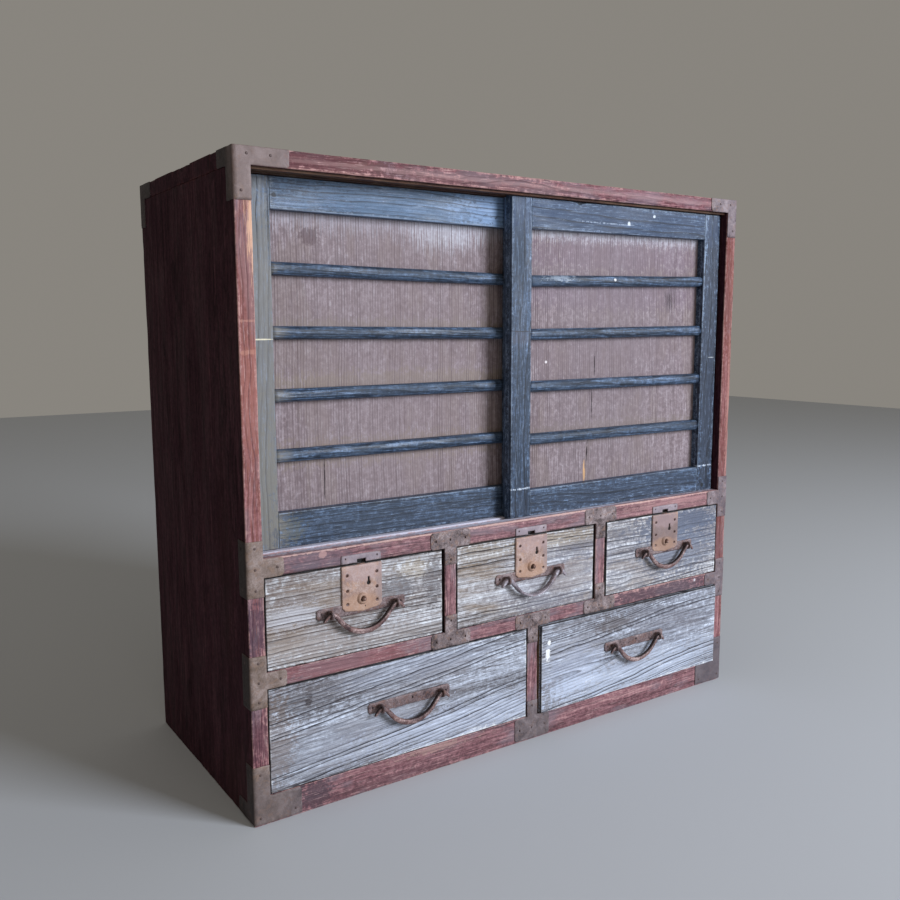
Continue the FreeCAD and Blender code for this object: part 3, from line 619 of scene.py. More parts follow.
# the range of each noise, or of the worn arrises, over which what it brings comes in
limits = dict(tone=(0.36, 0.46, 0.54, 0.64), middle=0.47, faded=(0.48, 0.60), scuffed=(0.57, 0.66),
              worn=(0.45, 0.95), broken=(0.18, 0.44), roughness=(0.35, 0.65))
frontEdge = (-0.1898, -0.1912)  # Y in metres, where the front edges of the sides begin and are whole
# the colour of the painted shade and dirt in the gaps
gapDirtAndShade = (13, 8, 9)


def grainPlace(tree):
    # Object coordinates turned so that the grain runs along X, moved for each board and wavering a little
    place = addNode(tree, "TexCoord").outputs["Object"]
    parts = addNode(tree, "SeparateXYZ", {0: place}).outputs
    turned = addNode(tree, "CombineXYZ", {0: parts[2], 1: parts[1], 2: parts[0]}).outputs[0]
    laid = addNode(tree, "Mix", {0: attribute(tree, "upright"), 4: place, 5: turned},
                   data_type="VECTOR").outputs[1]
    board = attribute(tree, "board")
    shift = addNode(tree, "CombineXYZ", {k: times(tree, board, reach)
                                         for k, reach in enumerate((3.7, 1.9, 2.3))}).outputs[0]
    laid = vectors(tree, "ADD", laid, shift)
    cells, reach = grain["waver"]
    soft = addNode(tree, "TexNoise", {"Vector": laid, "Scale": cells, "Detail": 2.0}).outputs["Color"]
    soft = stretched(tree, vectors(tree, "SUBTRACT", soft, (0.5, 0.5, 0.5)), (0.0, reach, reach))
    return place, parts, vectors(tree, "ADD", laid, soft)


def grainNoises(tree, where):
    # the stretched noises, the tone that they make together, and the rim noise of the marks
    made = {}
    for key in ("fibre", "streak", "band", "patch", "scuff", "blotch"):
        lengthwise, crosswise = grain[key][:2]
        made[key] = cloud(tree, where, (lengthwise, crosswise, crosswise), 4.0, 0.62, 0.3)
    made["mottle"] = cloud(tree, where, grain["mottle"], 5.0, 0.7, 0.4)
    made["speck"] = cloud(tree, where, grain["speck"], 3.0, 0.7)
    made["tone"] = weighted(tree, [(made[key], grain[key][2]) for key in ("fibre", "streak", "band")])
    made["rim"] = strayed(tree, 0.5, weighted(tree, [(made["scuff"], 0.4), (made["mottle"], 0.6)]), 6.0)
    return made


def ringLine(tree, noises, sharp):
    # each ring darkens slowly and ends at once: (share of the ring)^sharp up to its end, times
    # 1.6 random^2 + 0.4, with its own random number for each ring, broken a little along the grain
    rings = plus(tree, attribute(tree, "rings"), 0.4)
    share = math(tree, "FRACT", rings)
    ridge = times(tree, math(tree, "POWER", share, sharp), between(tree, share, 1.0, 0.9))
    own = addNode(tree, "TexWhiteNoise", {"W": math(tree, "FLOOR", rings)},
                  noise_dimensions="1D").outputs["Value"]
    own = plus(tree, times(tree, times(tree, own, own), 1.6), 0.4)
    broken = between(tree, noises["streak"], *limits["broken"])
    return math(tree, "MULTIPLY", times(tree, ridge, own), broken, clamp=True)


def marked(tree, colour, marks, place, noises, over):
    # the marks that lie under the grain lines, or those that lie over everything
    for mark in marks:
        if mark.get("over", False) == over:
            colour = markAt(tree, place, colour, mark, noises[mark.get("by", "rim")])
    return colour


def woodColour(tree, finish, noises, place, marks):
    # grain tone, faded patches, stains and painted light and shade under the lines, dark ring lines,
    # scuffs, bare wood at the worn arrises (partly painted highlight on the drawer fronts), and paint spots
    # and painted shade over all
    def laidOver(colour, share, key):
        return blendColours(tree, times(tree, share, finish[key + "Share"]), colour, finish[key])

    tone = math(tree, "SUBTRACT", noises["tone"], limits["middle"])
    for key in ("mottle", "blotch"):
        tone = strayed(tree, tone, noises[key], finish[key])
    tone = plus(tree, 0.5, times(tree, tone, finish["spread"]))
    colour = colourRamp(tree, tone, zip(limits["tone"], finish["stops"]))
    colour = laidOver(colour, between(tree, noises["patch"], *limits["faded"]), "patch")
    colour = marked(tree, colour, marks, place, noises, False)
    colour = laidOver(colour, ringLine(tree, noises, finish["sharp"]), "line")
    colour = laidOver(colour, between(tree, noises["scuff"], *limits["scuffed"]), "scuff")
    worn = strayed(tree, attribute(tree, "arris"), noises["rim"], 0.6)
    worn = strayed(tree, worn, noises["band"], 2.0)
    colour = laidOver(colour, between(tree, worn, *limits["worn"]), "wear")
    return marked(tree, colour, marks, place, noises, True)


def woodPaint(finish, marks=(), face=None, faceMarks=()):
    # face is a second finish for the edge that faces the front of the cabinet; deep darkens what
    # lies in the gaps with painted shade and dust
    paint, tree = newPaint(finish["name"])
    place, parts, where = grainPlace(tree)
    noises = grainNoises(tree, where)
    colour = woodColour(tree, finish, noises, place, marks)
    if face:
        share = between(tree, parts[1], *frontEdge)
        colour = blendColours(tree, share, colour, woodColour(tree, face, noises, place, faceMarks))
    # painted shade and dirt in the gaps, from the shade attribute
    if "deep" in finish:
        shade = times(tree, attribute(tree, "shade"), finish["deep"])
        colour = blendColours(tree, shade, colour, gapDirtAndShade)
    roughness = roughnessFrom(tree, noises["patch"], *limits["roughness"], finish["roughness"])
    height = weighted(tree, [(noises["fibre"], 0.6), (noises["speck"], 0.4)])
    finishPaint(tree, colour, roughness, height, finish["bump"], finish["gloss"])
    return paint


# Iron finishes: shades of rust over soft noise, with pits, dark nail heads and pockets painted black as
# shade

strapRust = dict(name="strapRust", stops=((70, 58, 58), (118, 104, 104), (158, 144, 144)),
                 spot=(132, 104, 90), nail=(82, 66, 64), grit=0.4, metal=0.1, roughness=(0.5, 0.75),
                 bump=0.7)
# shadedSide: how strong the painted shade on the bail's up-and-left side is
bailRust = dict(name="bailRust", stops=((64, 46, 48), (122, 98, 96), (182, 160, 156)),
                spot=(116, 82, 76), nail=(40, 26, 26), grit=0.5, metal=0.2, roughness=(0.38, 0.6),
                bump=0.7, shadedSide=0.9)
flatRust = dict(bailRust, name="flatRust", stops=((98, 90, 96), (144, 136, 144), (186, 182, 190)),
                spot=(128, 102, 104), shadedSide=0.0)
plateRust = dict(name="plateRust", stops=((70, 56, 58), (114, 96, 96), (150, 134, 134)),
                 spot=(116, 82, 70), nail=(44, 32, 34), grit=0.5, metal=0.1, roughness=(0.45, 0.7),
                 bump=0.8)
lockRust = dict(name="lockRust", stops=((140, 114, 104), (164, 138, 127), (186, 164, 155)),
                spot=(178, 140, 117), nail=(72, 40, 33), grit=0.45, metal=0.1, roughness=(0.5, 0.75),
                bump=0.7)
pinRust = dict(name="pinRust", stops=((64, 46, 40), (112, 84, 74), (160, 132, 120)),
               spot=(128, 84, 60), nail=(40, 26, 26), grit=0.5, metal=0.2, roughness=(0.4, 0.65),
               bump=0.6)


def rustPaint(finish, marks=()):
    # board is 0.5 on nail heads and 1 in the pockets, which are painted black as shade
    paint, tree = newPaint(finish["name"])
    place = addNode(tree, "TexCoord").outputs["Object"]
    broad = cloud(tree, place, 60.0, 5.0, 0.62, 0.5)
    grit = cloud(tree, place, 480.0, 4.0, 0.7)
    bloom = cloud(tree, place, 130.0, 4.0, 0.65, 1.0)
    tone = weighted(tree, [(broad, 1 - finish["grit"]), (grit, finish["grit"])])
    colour = colourRamp(tree, tone, zip((0.40, 0.5, 0.60), finish["stops"]))
    bloomed = times(tree, between(tree, bloom, 0.52, 0.62), 0.6)
    colour = blendColours(tree, bloomed, colour, finish["spot"])
    for mark in marks:
        colour = markAt(tree, place, colour, mark, bloom)
    if finish.get("shadedSide"):
        # painted shade: the side that faces up and left, away from the light, is painted dark
        facing = addNode(tree, "SeparateXYZ", {0: addNode(tree, "TexCoord").outputs["Normal"]}).outputs
        inner = math(tree, "SUBTRACT", times(tree, facing[2], 0.55), times(tree, facing[0], 0.75))
        inner = times(tree, between(tree, inner, 0.1, 0.6), finish["shadedSide"])
        colour = blendColours(tree, inner, colour, (26, 14, 15))
    part = attribute(tree, "board")
    colour = blendColours(tree, times(tree, between(tree, part, 0.3, 0.45), 0.85), colour, finish["nail"])
    # the pockets painted near black as shade
    colour = blendColours(tree, between(tree, part, 0.8, 0.95), colour, (6, 4, 4))
    roughness = roughnessFrom(tree, grit, 0.3, 0.7, finish["roughness"])
    height = weighted(tree, [(broad, 0.5), (grit, 0.5)])
    finishPaint(tree, colour, roughness, height, finish["bump"], 0.4, finish["metal"])
    return paint


# Grain in relief

def growthRings(points, cut):
    # a point's distance from the pith, over the ring pitch: root of ((across - heart)^2 +
    # (through - pith)^2), where the heart line wanders and slopes and the pith leans along the board;
    # bunch adds noise(distance), so that years of close rings follow years of wide ones, and first
    # is the number of the innermost ring
    along, across, through = (points[:, k] for k in cut["axes"])
    walked = along - cut.get("start", 0)
    heart = cut["heart"] + cut["wander"] * noise(along / 170, 0 * along + 0.5, cut["seed"])
    heart = heart + cut.get("slope", 0) * walked
    pith = cut["pith"] + cut["lean"] * walked
    ripple = 0.35 * noise(along / 28, across / 6, cut["seed"] + 2)
    ripple = ripple + 0.5 * noise(along / 90, across / 25, cut["seed"] + 1)
    distance = np.hypot(across - heart, through - pith)
    bunch = cut.get("bunch", 0) * noise(distance / 20, 0 * distance + 0.5, cut["seed"] + 6)
    return distance / cut["pitch"] + cut.get("first", 0) + bunch + cut.get("ripple", 1.0) * ripple


def woodRelief(cut):
    # narrow hard ridges where a ring ends, with worn hollows between: ridge = (half a cosine)^sharp
    along, across, _ = cut["axes"]

    def relief(points, way):
        rings = growthRings(points, cut)
        ridge = (0.5 - 0.5 * np.cos(2 * np.pi * rings)) ** cut.get("sharp", 1.6)
        strength = 0.65 + 0.35 * noise(np.floor(rings) * 0.73, points[:, along] / 200, cut["seed"] + 3)
        fibre = noise(points[:, along] / 30, points[:, across] / 0.9, cut["seed"] + 5)
        share = 1 - 0.7 * np.abs(way[:, along])
        height = cut["height"] * (ridge * strength - 0.75 + 0.2 * fibre) * share
        return height, rings
    return relief


# Marks: single places where the lacquer, paint or wood has changed, and some painted light and shade, in mm

lockX = (-289, 3.5, 294.5)  # the middles of the three locks


def marksOn(y, deep, rows):
    # rows of x, z, half the width and height, colour and strength, then whatever isn't as usual:
    # ragged, how far the rim is broken, by, the noise that breaks it, soft, its blur, and over,
    # when it lies over the grain lines
    return [dict(at=(x, y, z), size=(wide, deep, high), colour=colour, strength=strength, **dict(*more))
            for x, z, wide, high, colour, strength, *more in rows]


sideMarks = marksOn(-150, 60, [
    (-450, 40, 6, 60, (66, 46, 44), 0.35)])
sideMarks += marksOn(-120, 24, [
    (-450, 330, 6, 120, (54, 30, 32), 0.4)])
stileMarks = marksOn(-192.5, 4, [
    (-431, 762, 4.5, 36, (228, 184, 154), 0.8, dict(ragged=6.0, by="fibre", over=True)),
    (-436, 612, 14, 2.2, (214, 166, 148), 0.6, dict(ragged=1.2)),
    (-438, 650, 12, 1.4, (206, 160, 146), 0.5, dict(ragged=1.2)),
    (-438, 560, 16, 60, (158, 106, 98), 0.45),
    (-439, 262, 16, 34, (78, 66, 78), 0.65),
    (-439, 120, 16, 30, (94, 68, 76), 0.5),
    (447, 560, 3.5, 300, (206, 158, 148), 0.55, dict(ragged=1.6)),
    (438, 710, 11, 110, (100, 54, 52), 0.6),
    (438, 280, 14, 80, (104, 66, 70), 0.45),
    (438, 520, 16, 380, (132, 82, 68), 0.4, dict(ragged=3.0, by="fibre")),
    (-438, 600, 16, 240, (172, 114, 98), 0.35, dict(ragged=4.0, by="fibre"))])
# painted shade: the pockets that the bolts rise into, painted near black
railMarks = marksOn(-192.5, 6, [(x, 331, 7.5, 4.5, (10, 7, 8), 1.0, dict(ragged=0.0, soft=0.1, over=True))
                                for x in lockX])
railMarks += marksOn(-166, 26, [
    # the sill's top: pale weathered grey with painted light on its top face
    (0, 357, 700, 5.5, (206, 206, 222), 0.92, dict(ragged=0.3, over=True))])
railMarks += marksOn(-192.5, 3, [
    (-20, 352.6, 460, 1.3, (214, 176, 164), 0.6, dict(ragged=1.4, over=True))])
railMarks += marksOn(-192.5, 5, [
    (-280, 846, 26, 5, (178, 134, 116), 0.3, dict(ragged=1.6)),
    (-90, 847, 110, 4, (128, 114, 122), 0.5, dict(ragged=1.6)),
    (260, 847, 160, 4, (156, 126, 130), 0.4, dict(ragged=1.6)),
    (-330, 844, 110, 14, (90, 56, 58), 0.72),
    (-90, 842, 190, 10, (108, 84, 84), 0.5),
    (-310, 193, 110, 12, (138, 86, 88), 0.5),
    (0, 844, 600, 3, (206, 172, 168), 0.18, dict(ragged=4.0, by="fibre")),
    (-364, 20, 24, 20, (66, 56, 66), 0.7, dict(ragged=0.9)),
    (-250, 8, 120, 8, (84, 56, 62), 0.5, dict(ragged=1.0)),
    (-170, 33, 50, 4, (190, 158, 148), 0.5, dict(ragged=1.8)),
    (290, 193, 110, 14, (74, 58, 68), 0.75, dict(ragged=1.0)),
    (-345, 340, 40, 14, (96, 82, 94), 0.5, dict(ragged=1.0)),
    (300, 344, 110, 7, (184, 140, 138), 0.5, dict(ragged=1.6))])
railMarks += marksOn(-192.5, 4, [
    (-345, 348, 6, 5, (178, 140, 136), 0.75, dict(ragged=0.3, soft=0.15, over=True)),
    (375, 198, 2.6, 2.6, (196, 190, 196), 0.9, dict(ragged=0.1, soft=0.2, over=True))])
doorMarks = marksOn(-156.5, 4, [
    (-384, 806, 3, 3, (18, 22, 30), 0.9, dict(ragged=0.3, over=True))])
doorMarks += marksOn(-156.5, 8, [
    # painted reflection: pale blue sheen of the sky on the left door's top rail
    (-120, 808, 230, 28, (104, 136, 170), 0.42, dict(ragged=1.3)),
    (-30, 810, 70, 24, (140, 172, 216), 0.48, dict(ragged=1.3)),
    (-190, 374, 260, 30, (50, 62, 80), 0.4),
    (-408, 600, 24, 300, (142, 140, 134), 0.5, dict(ragged=0.5)),
    (-408, 540, 40, 230, (134, 130, 124), 0.4, dict(ragged=0.2, over=True)),
    (-410, 430, 22, 90, (124, 120, 106), 0.5, dict(ragged=1.3)),
    (-374, 380, 18, 13, (112, 112, 98), 0.45, dict(ragged=1.4)),
    (-408, 627, 20, 0.9, (228, 220, 190), 0.95, dict(ragged=0.25, soft=0.3, over=True))])
doorMarks += marksOn(-180.5, 8, [
    # painted reflection: pale blue sheen on the right door's top rail
    (20, 812, 60, 20, (92, 110, 138), 0.35, dict(ragged=1.3)),
    (200, 374, 230, 22, (42, 54, 74), 0.65),
    (-8, 635, 18, 0.8, (34, 34, 42), 0.9, dict(ragged=0.2, soft=0.3, over=True)),
    (-8, 624, 18, 10, (102, 98, 112), 0.35, dict(ragged=1.2)),
    (405, 600, 22, 330, (36, 44, 60), 0.85, dict(ragged=0.8)),
    (-8, 560, 22, 260, (42, 54, 72), 0.35),
    (200, 806, 240, 30, (42, 62, 92), 0.68),
    (200, 398.5, 230, 1.8, (200, 212, 228), 0.8, dict(ragged=0.8, over=True))])
doorMarks += marksOn(-180.5, 6, [
    (162, 801, 34, 0.6, (176, 192, 212), 0.5, dict(ragged=3.0, over=True)),
    (208, 803, 3, 3, (214, 222, 230), 0.85, dict(ragged=0.6, over=True)),
    (264, 818, 3, 2, (214, 222, 232), 0.85, dict(ragged=0.6, over=True)),
    (400, 364, 4, 4, (16, 18, 24), 0.9, dict(ragged=0.2, over=True)),
    (412, 588, 7, 0.8, (180, 186, 190), 0.7, dict(ragged=0.4, over=True))])
doorMarks += marksOn(-179.5, 9, [
    (72, 716, 24, 4, (176, 190, 206), 0.5, dict(ragged=2.4)),
    (182, 715, 2.4, 2.2, (226, 226, 226), 0.9, dict(ragged=0.3, over=True))])
panelMarks = marksOn(-141.5, 8, [
    (-205, 590, 130, 250, (138, 124, 127), 0.42, dict(soft=0.5, over=True)),
    # pale streaks under the top rail, partly weathering and partly painted highlight
    (-150, 788, 260, 18, (178, 176, 186), 0.55, dict(ragged=6.0, by="fibre")),
    (-120, 776, 50, 22, (206, 208, 218), 0.6, dict(ragged=6.0, by="fibre")),
    (-330, 760, 15, 11, (84, 66, 72), 0.6, dict(ragged=0.9)),
    (-210, 566, 230, 16, (148, 136, 114), 0.45),
    (-210, 474, 230, 18, (150, 136, 116), 0.45),
    (-210, 640, 230, 12, (148, 138, 122), 0.4)])
panelMarks += marksOn(-141.5, 6, [
    # painted shade: a dark line in the crack
    (-315.5, 438, 0.9, 32, (44, 34, 38), 0.85, dict(ragged=0.4, over=True))])
panelMarks += marksOn(-165.5, 8, [
    (180, 600, 115, 250, (128, 116, 120), 0.42, dict(soft=0.5, over=True)),
    # pale streaks under the top rail, partly weathering and partly painted highlight
    (180, 788, 230, 14, (200, 200, 210), 0.75, dict(ragged=6.0, by="fibre")),
    (200, 474, 230, 16, (144, 132, 118), 0.35),
    (200, 690, 230, 22, (122, 104, 122), 0.35),
    (200, 752, 230, 24, (124, 106, 120), 0.5),
    (190, 600, 230, 40, (126, 110, 116), 0.35)])
panelMarks += marksOn(-165.5, 6, [
    # painted shade: dark lines in the three cracks
    (153, 581, 0.9, 20, (40, 30, 34), 0.9, dict(ragged=0.4, over=True)),
    (148, 520, 0.9, 21, (40, 30, 34), 0.9, dict(ragged=0.4, over=True)),
    (140, 446, 1.1, 16, (40, 30, 34), 0.9, dict(ragged=0.4, over=True)),
    (52, 588, 2.2, 2.2, (228, 222, 222), 0.9, dict(ragged=0.2, over=True)),
    (320, 685, 9, 13, (56, 44, 48), 0.75, dict(ragged=7.0, by="fibre")),
    (134, 412, 2.2, 16, (206, 164, 120), 0.9, dict(ragged=0.4, over=True))])
frontMarks = marksOn(-192.5, 6, [
    (-206, 307, 26, 13, (186, 172, 148), 0.45),
    (-172, 286, 17, 34, (98, 94, 98), 0.6),
    (-232, 284, 30, 18, (100, 102, 110), 0.55),
    (96, 298, 34, 20, (104, 102, 108), 0.45),
    (-396, 302, 34, 18, (116, 100, 90), 0.35),
    (-388, 270, 34, 14, (214, 218, 228), 0.6, dict(ragged=1.4)),
    (-380, 228, 60, 22, (184, 176, 172), 0.35),
    (60, 314, 80, 11, (170, 152, 124), 0.5),
    (-80, 312, 50, 12, (150, 134, 112), 0.45),
    (20, 222, 50, 14, (108, 98, 96), 0.45, dict(ragged=1.4)),
    (330, 306, 100, 24, (68, 78, 98), 0.8),
    (376, 300, 110, 42, (98, 108, 128), 0.4, dict(ragged=0.4, over=True)),
    (250, 260, 110, 60, (132, 138, 154), 0.25, dict(over=True)),
    (60, 250, 100, 50, (138, 142, 160), 0.28, dict(over=True)),
    (-350, 270, 110, 60, (128, 112, 104), 0.28, dict(over=True)),
    (340, 256, 90, 40, (92, 104, 126), 0.6),
    (200, 308, 40, 16, (100, 98, 104), 0.45),
    (-374, 154, 56, 22, (88, 82, 82), 0.5),
    (-300, 80, 120, 30, (176, 182, 196), 0.35),
    (-292, 222, 120, 14, (186, 180, 178), 0.4),
    (-370, 155, 5, 8, (58, 48, 48), 0.75, dict(ragged=0.7)),
    (-420, 110, 26, 60, (122, 104, 92), 0.5),
    # painted reflection: bluish-white sheen on the lower left drawer front
    (-120, 66, 150, 22, (204, 214, 234), 0.5, dict(ragged=1.4)),
    (-200, 164, 110, 15, (178, 186, 204), 0.35)])
frontMarks += marksOn(-197.5, 6, [
    (90, 92, 60, 40, (196, 206, 228), 0.4),
    (210, 164, 110, 14, (104, 104, 112), 0.45),
    (175, 158, 36, 14, (98, 88, 84), 0.5),
    (320, 130, 90, 44, (120, 122, 134), 0.4),
    # painted reflection: bluish-white sheen on the lower right drawer front
    (230, 66, 170, 26, (202, 214, 234), 0.5, dict(ragged=1.4)),
    (36, 132, 4.5, 9, (238, 240, 240), 0.95, dict(ragged=1.0, soft=0.1, over=True)),
    (38, 152, 3.2, 3.6, (236, 238, 238), 0.95, dict(ragged=0.9, soft=0.1, over=True))])
strapMarks = marksOn(-193, 20, [
    (-440, 560, 60, 700, (136, 116, 98), 0.42),
    (440, 400, 60, 700, (112, 100, 110), 0.4),
    (0, 30, 600, 56, (86, 78, 82), 0.5)])
strapMarks += marksOn(0, 400, [
    # painted shade: the strap arms on the left side, which faces away from the light, darkened to near
    # black
    (-452.2, 430, 2.2, 900, (30, 20, 23), 0.92, dict(ragged=0.2, soft=0.3))])
strapMarks += marksOn(-193, 20, [
    (-420, 850, 50, 70, (108, 92, 92), 0.55),
    (440, 50, 60, 60, (80, 74, 80), 0.4)])
strapMarks += marksOn(-194, 3, [(x, 336, 34, 9, (166, 154, 164), 0.5, dict(ragged=0.4)) for x in lockX])
lockMarks = marksOn(-195, 6, [
    (-262, 300, 7, 30, (150, 134, 134), 0.5),
    (32, 300, 7, 30, (150, 134, 134), 0.5),
    # painted shade: the right lock darkened where the light falls off
    (294, 296, 36, 36, (112, 96, 96), 0.75)])
lockMarks += marksOn(-195, 8, [(x - 4, 274, 28, 13, (178, 138, 108), 0.45) for x in lockX])
lockMarks += marksOn(-195, 8, [(x, 316, 30, 13, (170, 146, 148), 0.4) for x in lockX])

paint = dict(
    side=woodPaint(sideFinish, sideMarks, railFinish, stileMarks),
    rail=woodPaint(railFinish, railMarks),
    top=woodPaint(dict(sideFinish, name="topLacquer"), (), railFinish, railMarks),
    door=woodPaint(doorFinish, doorMarks),
    panel=woodPaint(panelFinish, panelMarks),
    inner=woodPaint(innerFinish),
    track=woodPaint(trackFinish),
    box=woodPaint(boxFinish),
    upper=woodPaint(upperFinish, frontMarks),
    lower=woodPaint(lowerFinish, frontMarks),
    strap=rustPaint(strapRust, strapMarks),
    bail=rustPaint(bailRust),
    flatBail=rustPaint(flatRust),
    plate=rustPaint(plateRust),
    lock=rustPaint(lockRust, lockMarks),
    pin=rustPaint(pinRust))
print("paints:", len(paint))


# Carcass boards

carcass = dict(radius=1.3, nick=1.0, fingers=5, proud=0.15, across=1.8, along=14, gap=16, boards=4,
               lap=0.3, railStep=(8, 3, 1.2), dividerStep=(1.6, 6, 8), backStep=(16, 3, 2.2))
sideTree = dict(axes=(2, 1, 0), heart=-40, wander=26, pith=60, lean=0.01, pitch=6.2, height=0.22,
                seed=41)
railTree = dict(axes=(0, 2, 1), heart=20, wander=8, pith=-150, lean=0.01, pitch=4.6, height=0.18)
topTree = dict(axes=(0, 1, 2), heart=700, wander=20, pith=60, lean=0.01, pitch=5.0, height=0.2, seed=67)
backTree = dict(railTree, pith=260, pitch=5.5, height=0.3)
dividerTree = dict(railTree, axes=(2, 0, 1), pitch=3.0)
innerX = cadCorners("side_right")[0][0]     # where the side boards face the room between them
topUnder = cadCorners("top_board")[0][2]


def buildSides(spec, tree):
    for name, turn in (("side_left", 1), ("side_right", 2)):
        low, high = cadCorners(name)
        relief = woodRelief(dict(tree, seed=tree["seed"] + turn, pith=tree["pith"] * (3 - 2 * turn)))
        way = dict(board=0.17 * turn, upright=1.0)
        shapes = [plank(low, (high[0], high[1], topUnder), spec["radius"],
                        (spec["across"], spec["across"], spec["along"]), relief, spec["nick"], **way)]
        pitch = (high[1] - low[1]) / spec["fingers"]
        for i in range(1, spec["fingers"], 2):
            near = low[1] + i * pitch
            far = low[1] + (i + 1) * pitch
            shapes.append(plank((low[0], near, topUnder), (high[0], far, high[2]), 0.5,
                                (6, spec["across"], 6), relief, **way))
        addPiece("sideBoard" + "LR"[turn - 1], shapes, paint["side"], "carcass", name)


def buildTop(spec, tree):
    low, high = cadCorners("top_board")
    inset = np.array([spec["proud"], 0, 0])
    high = high - [0, 0, 2 * spec["proud"]]
    board = plank(low + inset, high - inset, spec["radius"], (spec["along"], spec["across"], 2),
                  woodRelief(tree), spec["nick"], board=0.3)
    addPiece("topBoard", [board], paint["top"], "carcass", "top_board")


def buildRails(spec, tree):
    for name, seed, rims in (("drawer_rail", 71, [(2, -1)]), ("bottom_rail", 75, ())):
        low, high = cadCorners(name)
        low[0], high[0] = -innerX, innerX
        relief = woodRelief(dict(tree, seed=seed, heart=tree["heart"] + seed))
        # gap and rims: painted shade and dirt where the rail meets the drawer gaps
        board = plank(low, high, spec["radius"], spec["railStep"], relief, spec["nick"],
                      board=seed * 0.01, gap=spec["gap"], rims=rims)
        addPiece(name.replace("_r", "R"), [board], paint["rail"], "carcass", name)


# Middle rail: the door sill, with its two grooves and the pockets that the bolts rise into

middleRail = dict(grooves=((-151, -141), (-175, -165)), grooveDepth=3, pocketHalf=7, pocketDepth=4.3,
                  pocketHeight=5, radius=1.0)


def buildMiddleRail(spec, common, tree, lockPlaces):
    low, high = cadCorners("middle_rail")
    (_, front, base), (_, rear, top) = low, high
    floor = top - spec["grooveDepth"]
    back, roof = front + spec["pocketDepth"], base + spec["pocketHeight"]
    profile = [(rear, base), (rear, top)]
    for near, far in spec["grooves"]:
        profile += [(far, top), (far, floor), (near, floor), (near, top)]
    plain = profile + [(front, top), (front, base)]
    pocketed = profile + [(front, top), (front, roof), (back, roof), (back, base)]
    ends = [-innerX] + [x + side * spec["pocketHalf"] for x in lockPlaces for side in (-1, 1)] + [innerX]
    relief = woodRelief(dict(tree, seed=83))
    shapes = []
    for k, (start, end) in enumerate(zip(ends[:-1], ends[1:])):
        outline = roundOutline(pocketed if k % 2 else plain, spec["radius"], 2.0)
        shape = carried(outline, evenStations(start, end, 8), 0.05, relief, 0.5, common["nick"])
        # painted shade and dirt along the rail's lower front arris
        shade = gapShade(shape["points"], low, high, common["gap"], [(2, -1)])
        shape["shade"] = shade * (shape["points"][:, 2] < base + 3)
        shapes.append(shape)
    addPiece("middleRail", shapes, paint["rail"], "carcass", "middle_rail")


def buildDividers(spec, tree):
    bottomTop, middleBase = cadCorners("bottom_rail")[1][2], cadCorners("middle_rail")[0][2]
    railBase, railTop = [corner[2] for corner in cadCorners("drawer_rail")]
    lower, upper = cadCorners("lower_divider"), cadCorners("upper_dividers")
    wide = lower[1][0] - lower[0][0]

    def divider(node, x, base, top, board, **grown):
        low, high = cadCorners(node)
        # gap: painted shade and dirt on the faces beside the drawers
        return plank((x, low[1], base), (x + wide, high[1], top), spec["radius"], spec["dividerStep"],
                     woodRelief(dict(tree, **grown)), spec["nick"], board=board, upright=1.0,
                     gap=spec["gap"])
    shapes = [divider("upper_dividers", x, railTop, middleBase, 0.6, seed=91, heart=x - 12)
              for x in (upper[0][0], upper[1][0] - wide)]
    addPiece("upperDividers", shapes, paint["rail"], "carcass", "upper_dividers")
    shape = divider("lower_divider", lower[0][0], bottomTop, railBase, 0.7, seed=97, heart=20)
    addPiece("lowerDivider", [shape], paint["rail"], "carcass", "lower_divider")


def buildBack(spec, tree):
    # the boards lap, so that no light comes through
    low, high = cadCorners("back_boards")
    count, lap = spec["boards"], spec["lap"]
    edges = np.linspace(low[2], high[2], count + 1)
    shapes = []
    for k in range(count):
        base, top = edges[k] + (-lap if k else lap), edges[k + 1] + (lap if k < count - 1 else -lap)
        relief = woodRelief(dict(tree, seed=101 + k, heart=edges[k] + 80))
        shapes.append(plank((low[0], low[1], base), (high[0], high[1] - lap, top), 1.2, spec["backStep"],
                            relief, 0.8, board=0.21 * (k + 1)))
    addPiece("backBoards", shapes, paint["inner"], "carcass", "back_boards")


# Straps: flat iron laid over the joints, nailed on and folded round the sides

straps = dict(thick=1.1, step=3.5, ragged=0.35, fold=1.5, clip=3, topArm=(71.5, 64), lowArm=66, topLeg=63,
              bottomLeg=79, sideArm=52, sideWidth=22, floorGap=2, inset=0.5, edgeReach=24, edgeArm=28,
              edgeWrap=24, teeHalf=34, teeStem=25, nail=1.9, nailHeight=0.8)


def foldedPlace(edgeX, edgeY, fold):
    # u runs along the front from the edge where it is positive and along the side where it is
    # negative; the fold is the curve (1-t)^2 A + t^2 B from one to the other
    def place(u, v, w):
        t = np.clip((fold - u) / (2 * fold), 0, 1)
        x = np.where(u > fold, u, (1 - t) ** 2 * fold)
        y = np.where(u < -fold, -u, t ** 2 * fold)
        size = np.hypot(t, 1 - t)
        return np.stack([edgeX + x - w * t / size, edgeY + y - w * (1 - t) / size, v], 1)
    return place


def frontPlace(face):
    def place(u, v, w):
        return np.stack([u, face - w, v], 1)
    return place


def nailed(spots, spec, place):
    heads = []
    for u, v in spots:
        point = place(np.array([u]), np.array([v]), np.array([spec["thick"]]))[0]
        heads += studs([point], spec["nail"], spec["nailHeight"], (-1, 0, 0) if u < 0 else (0, -1, 0))
    return heads


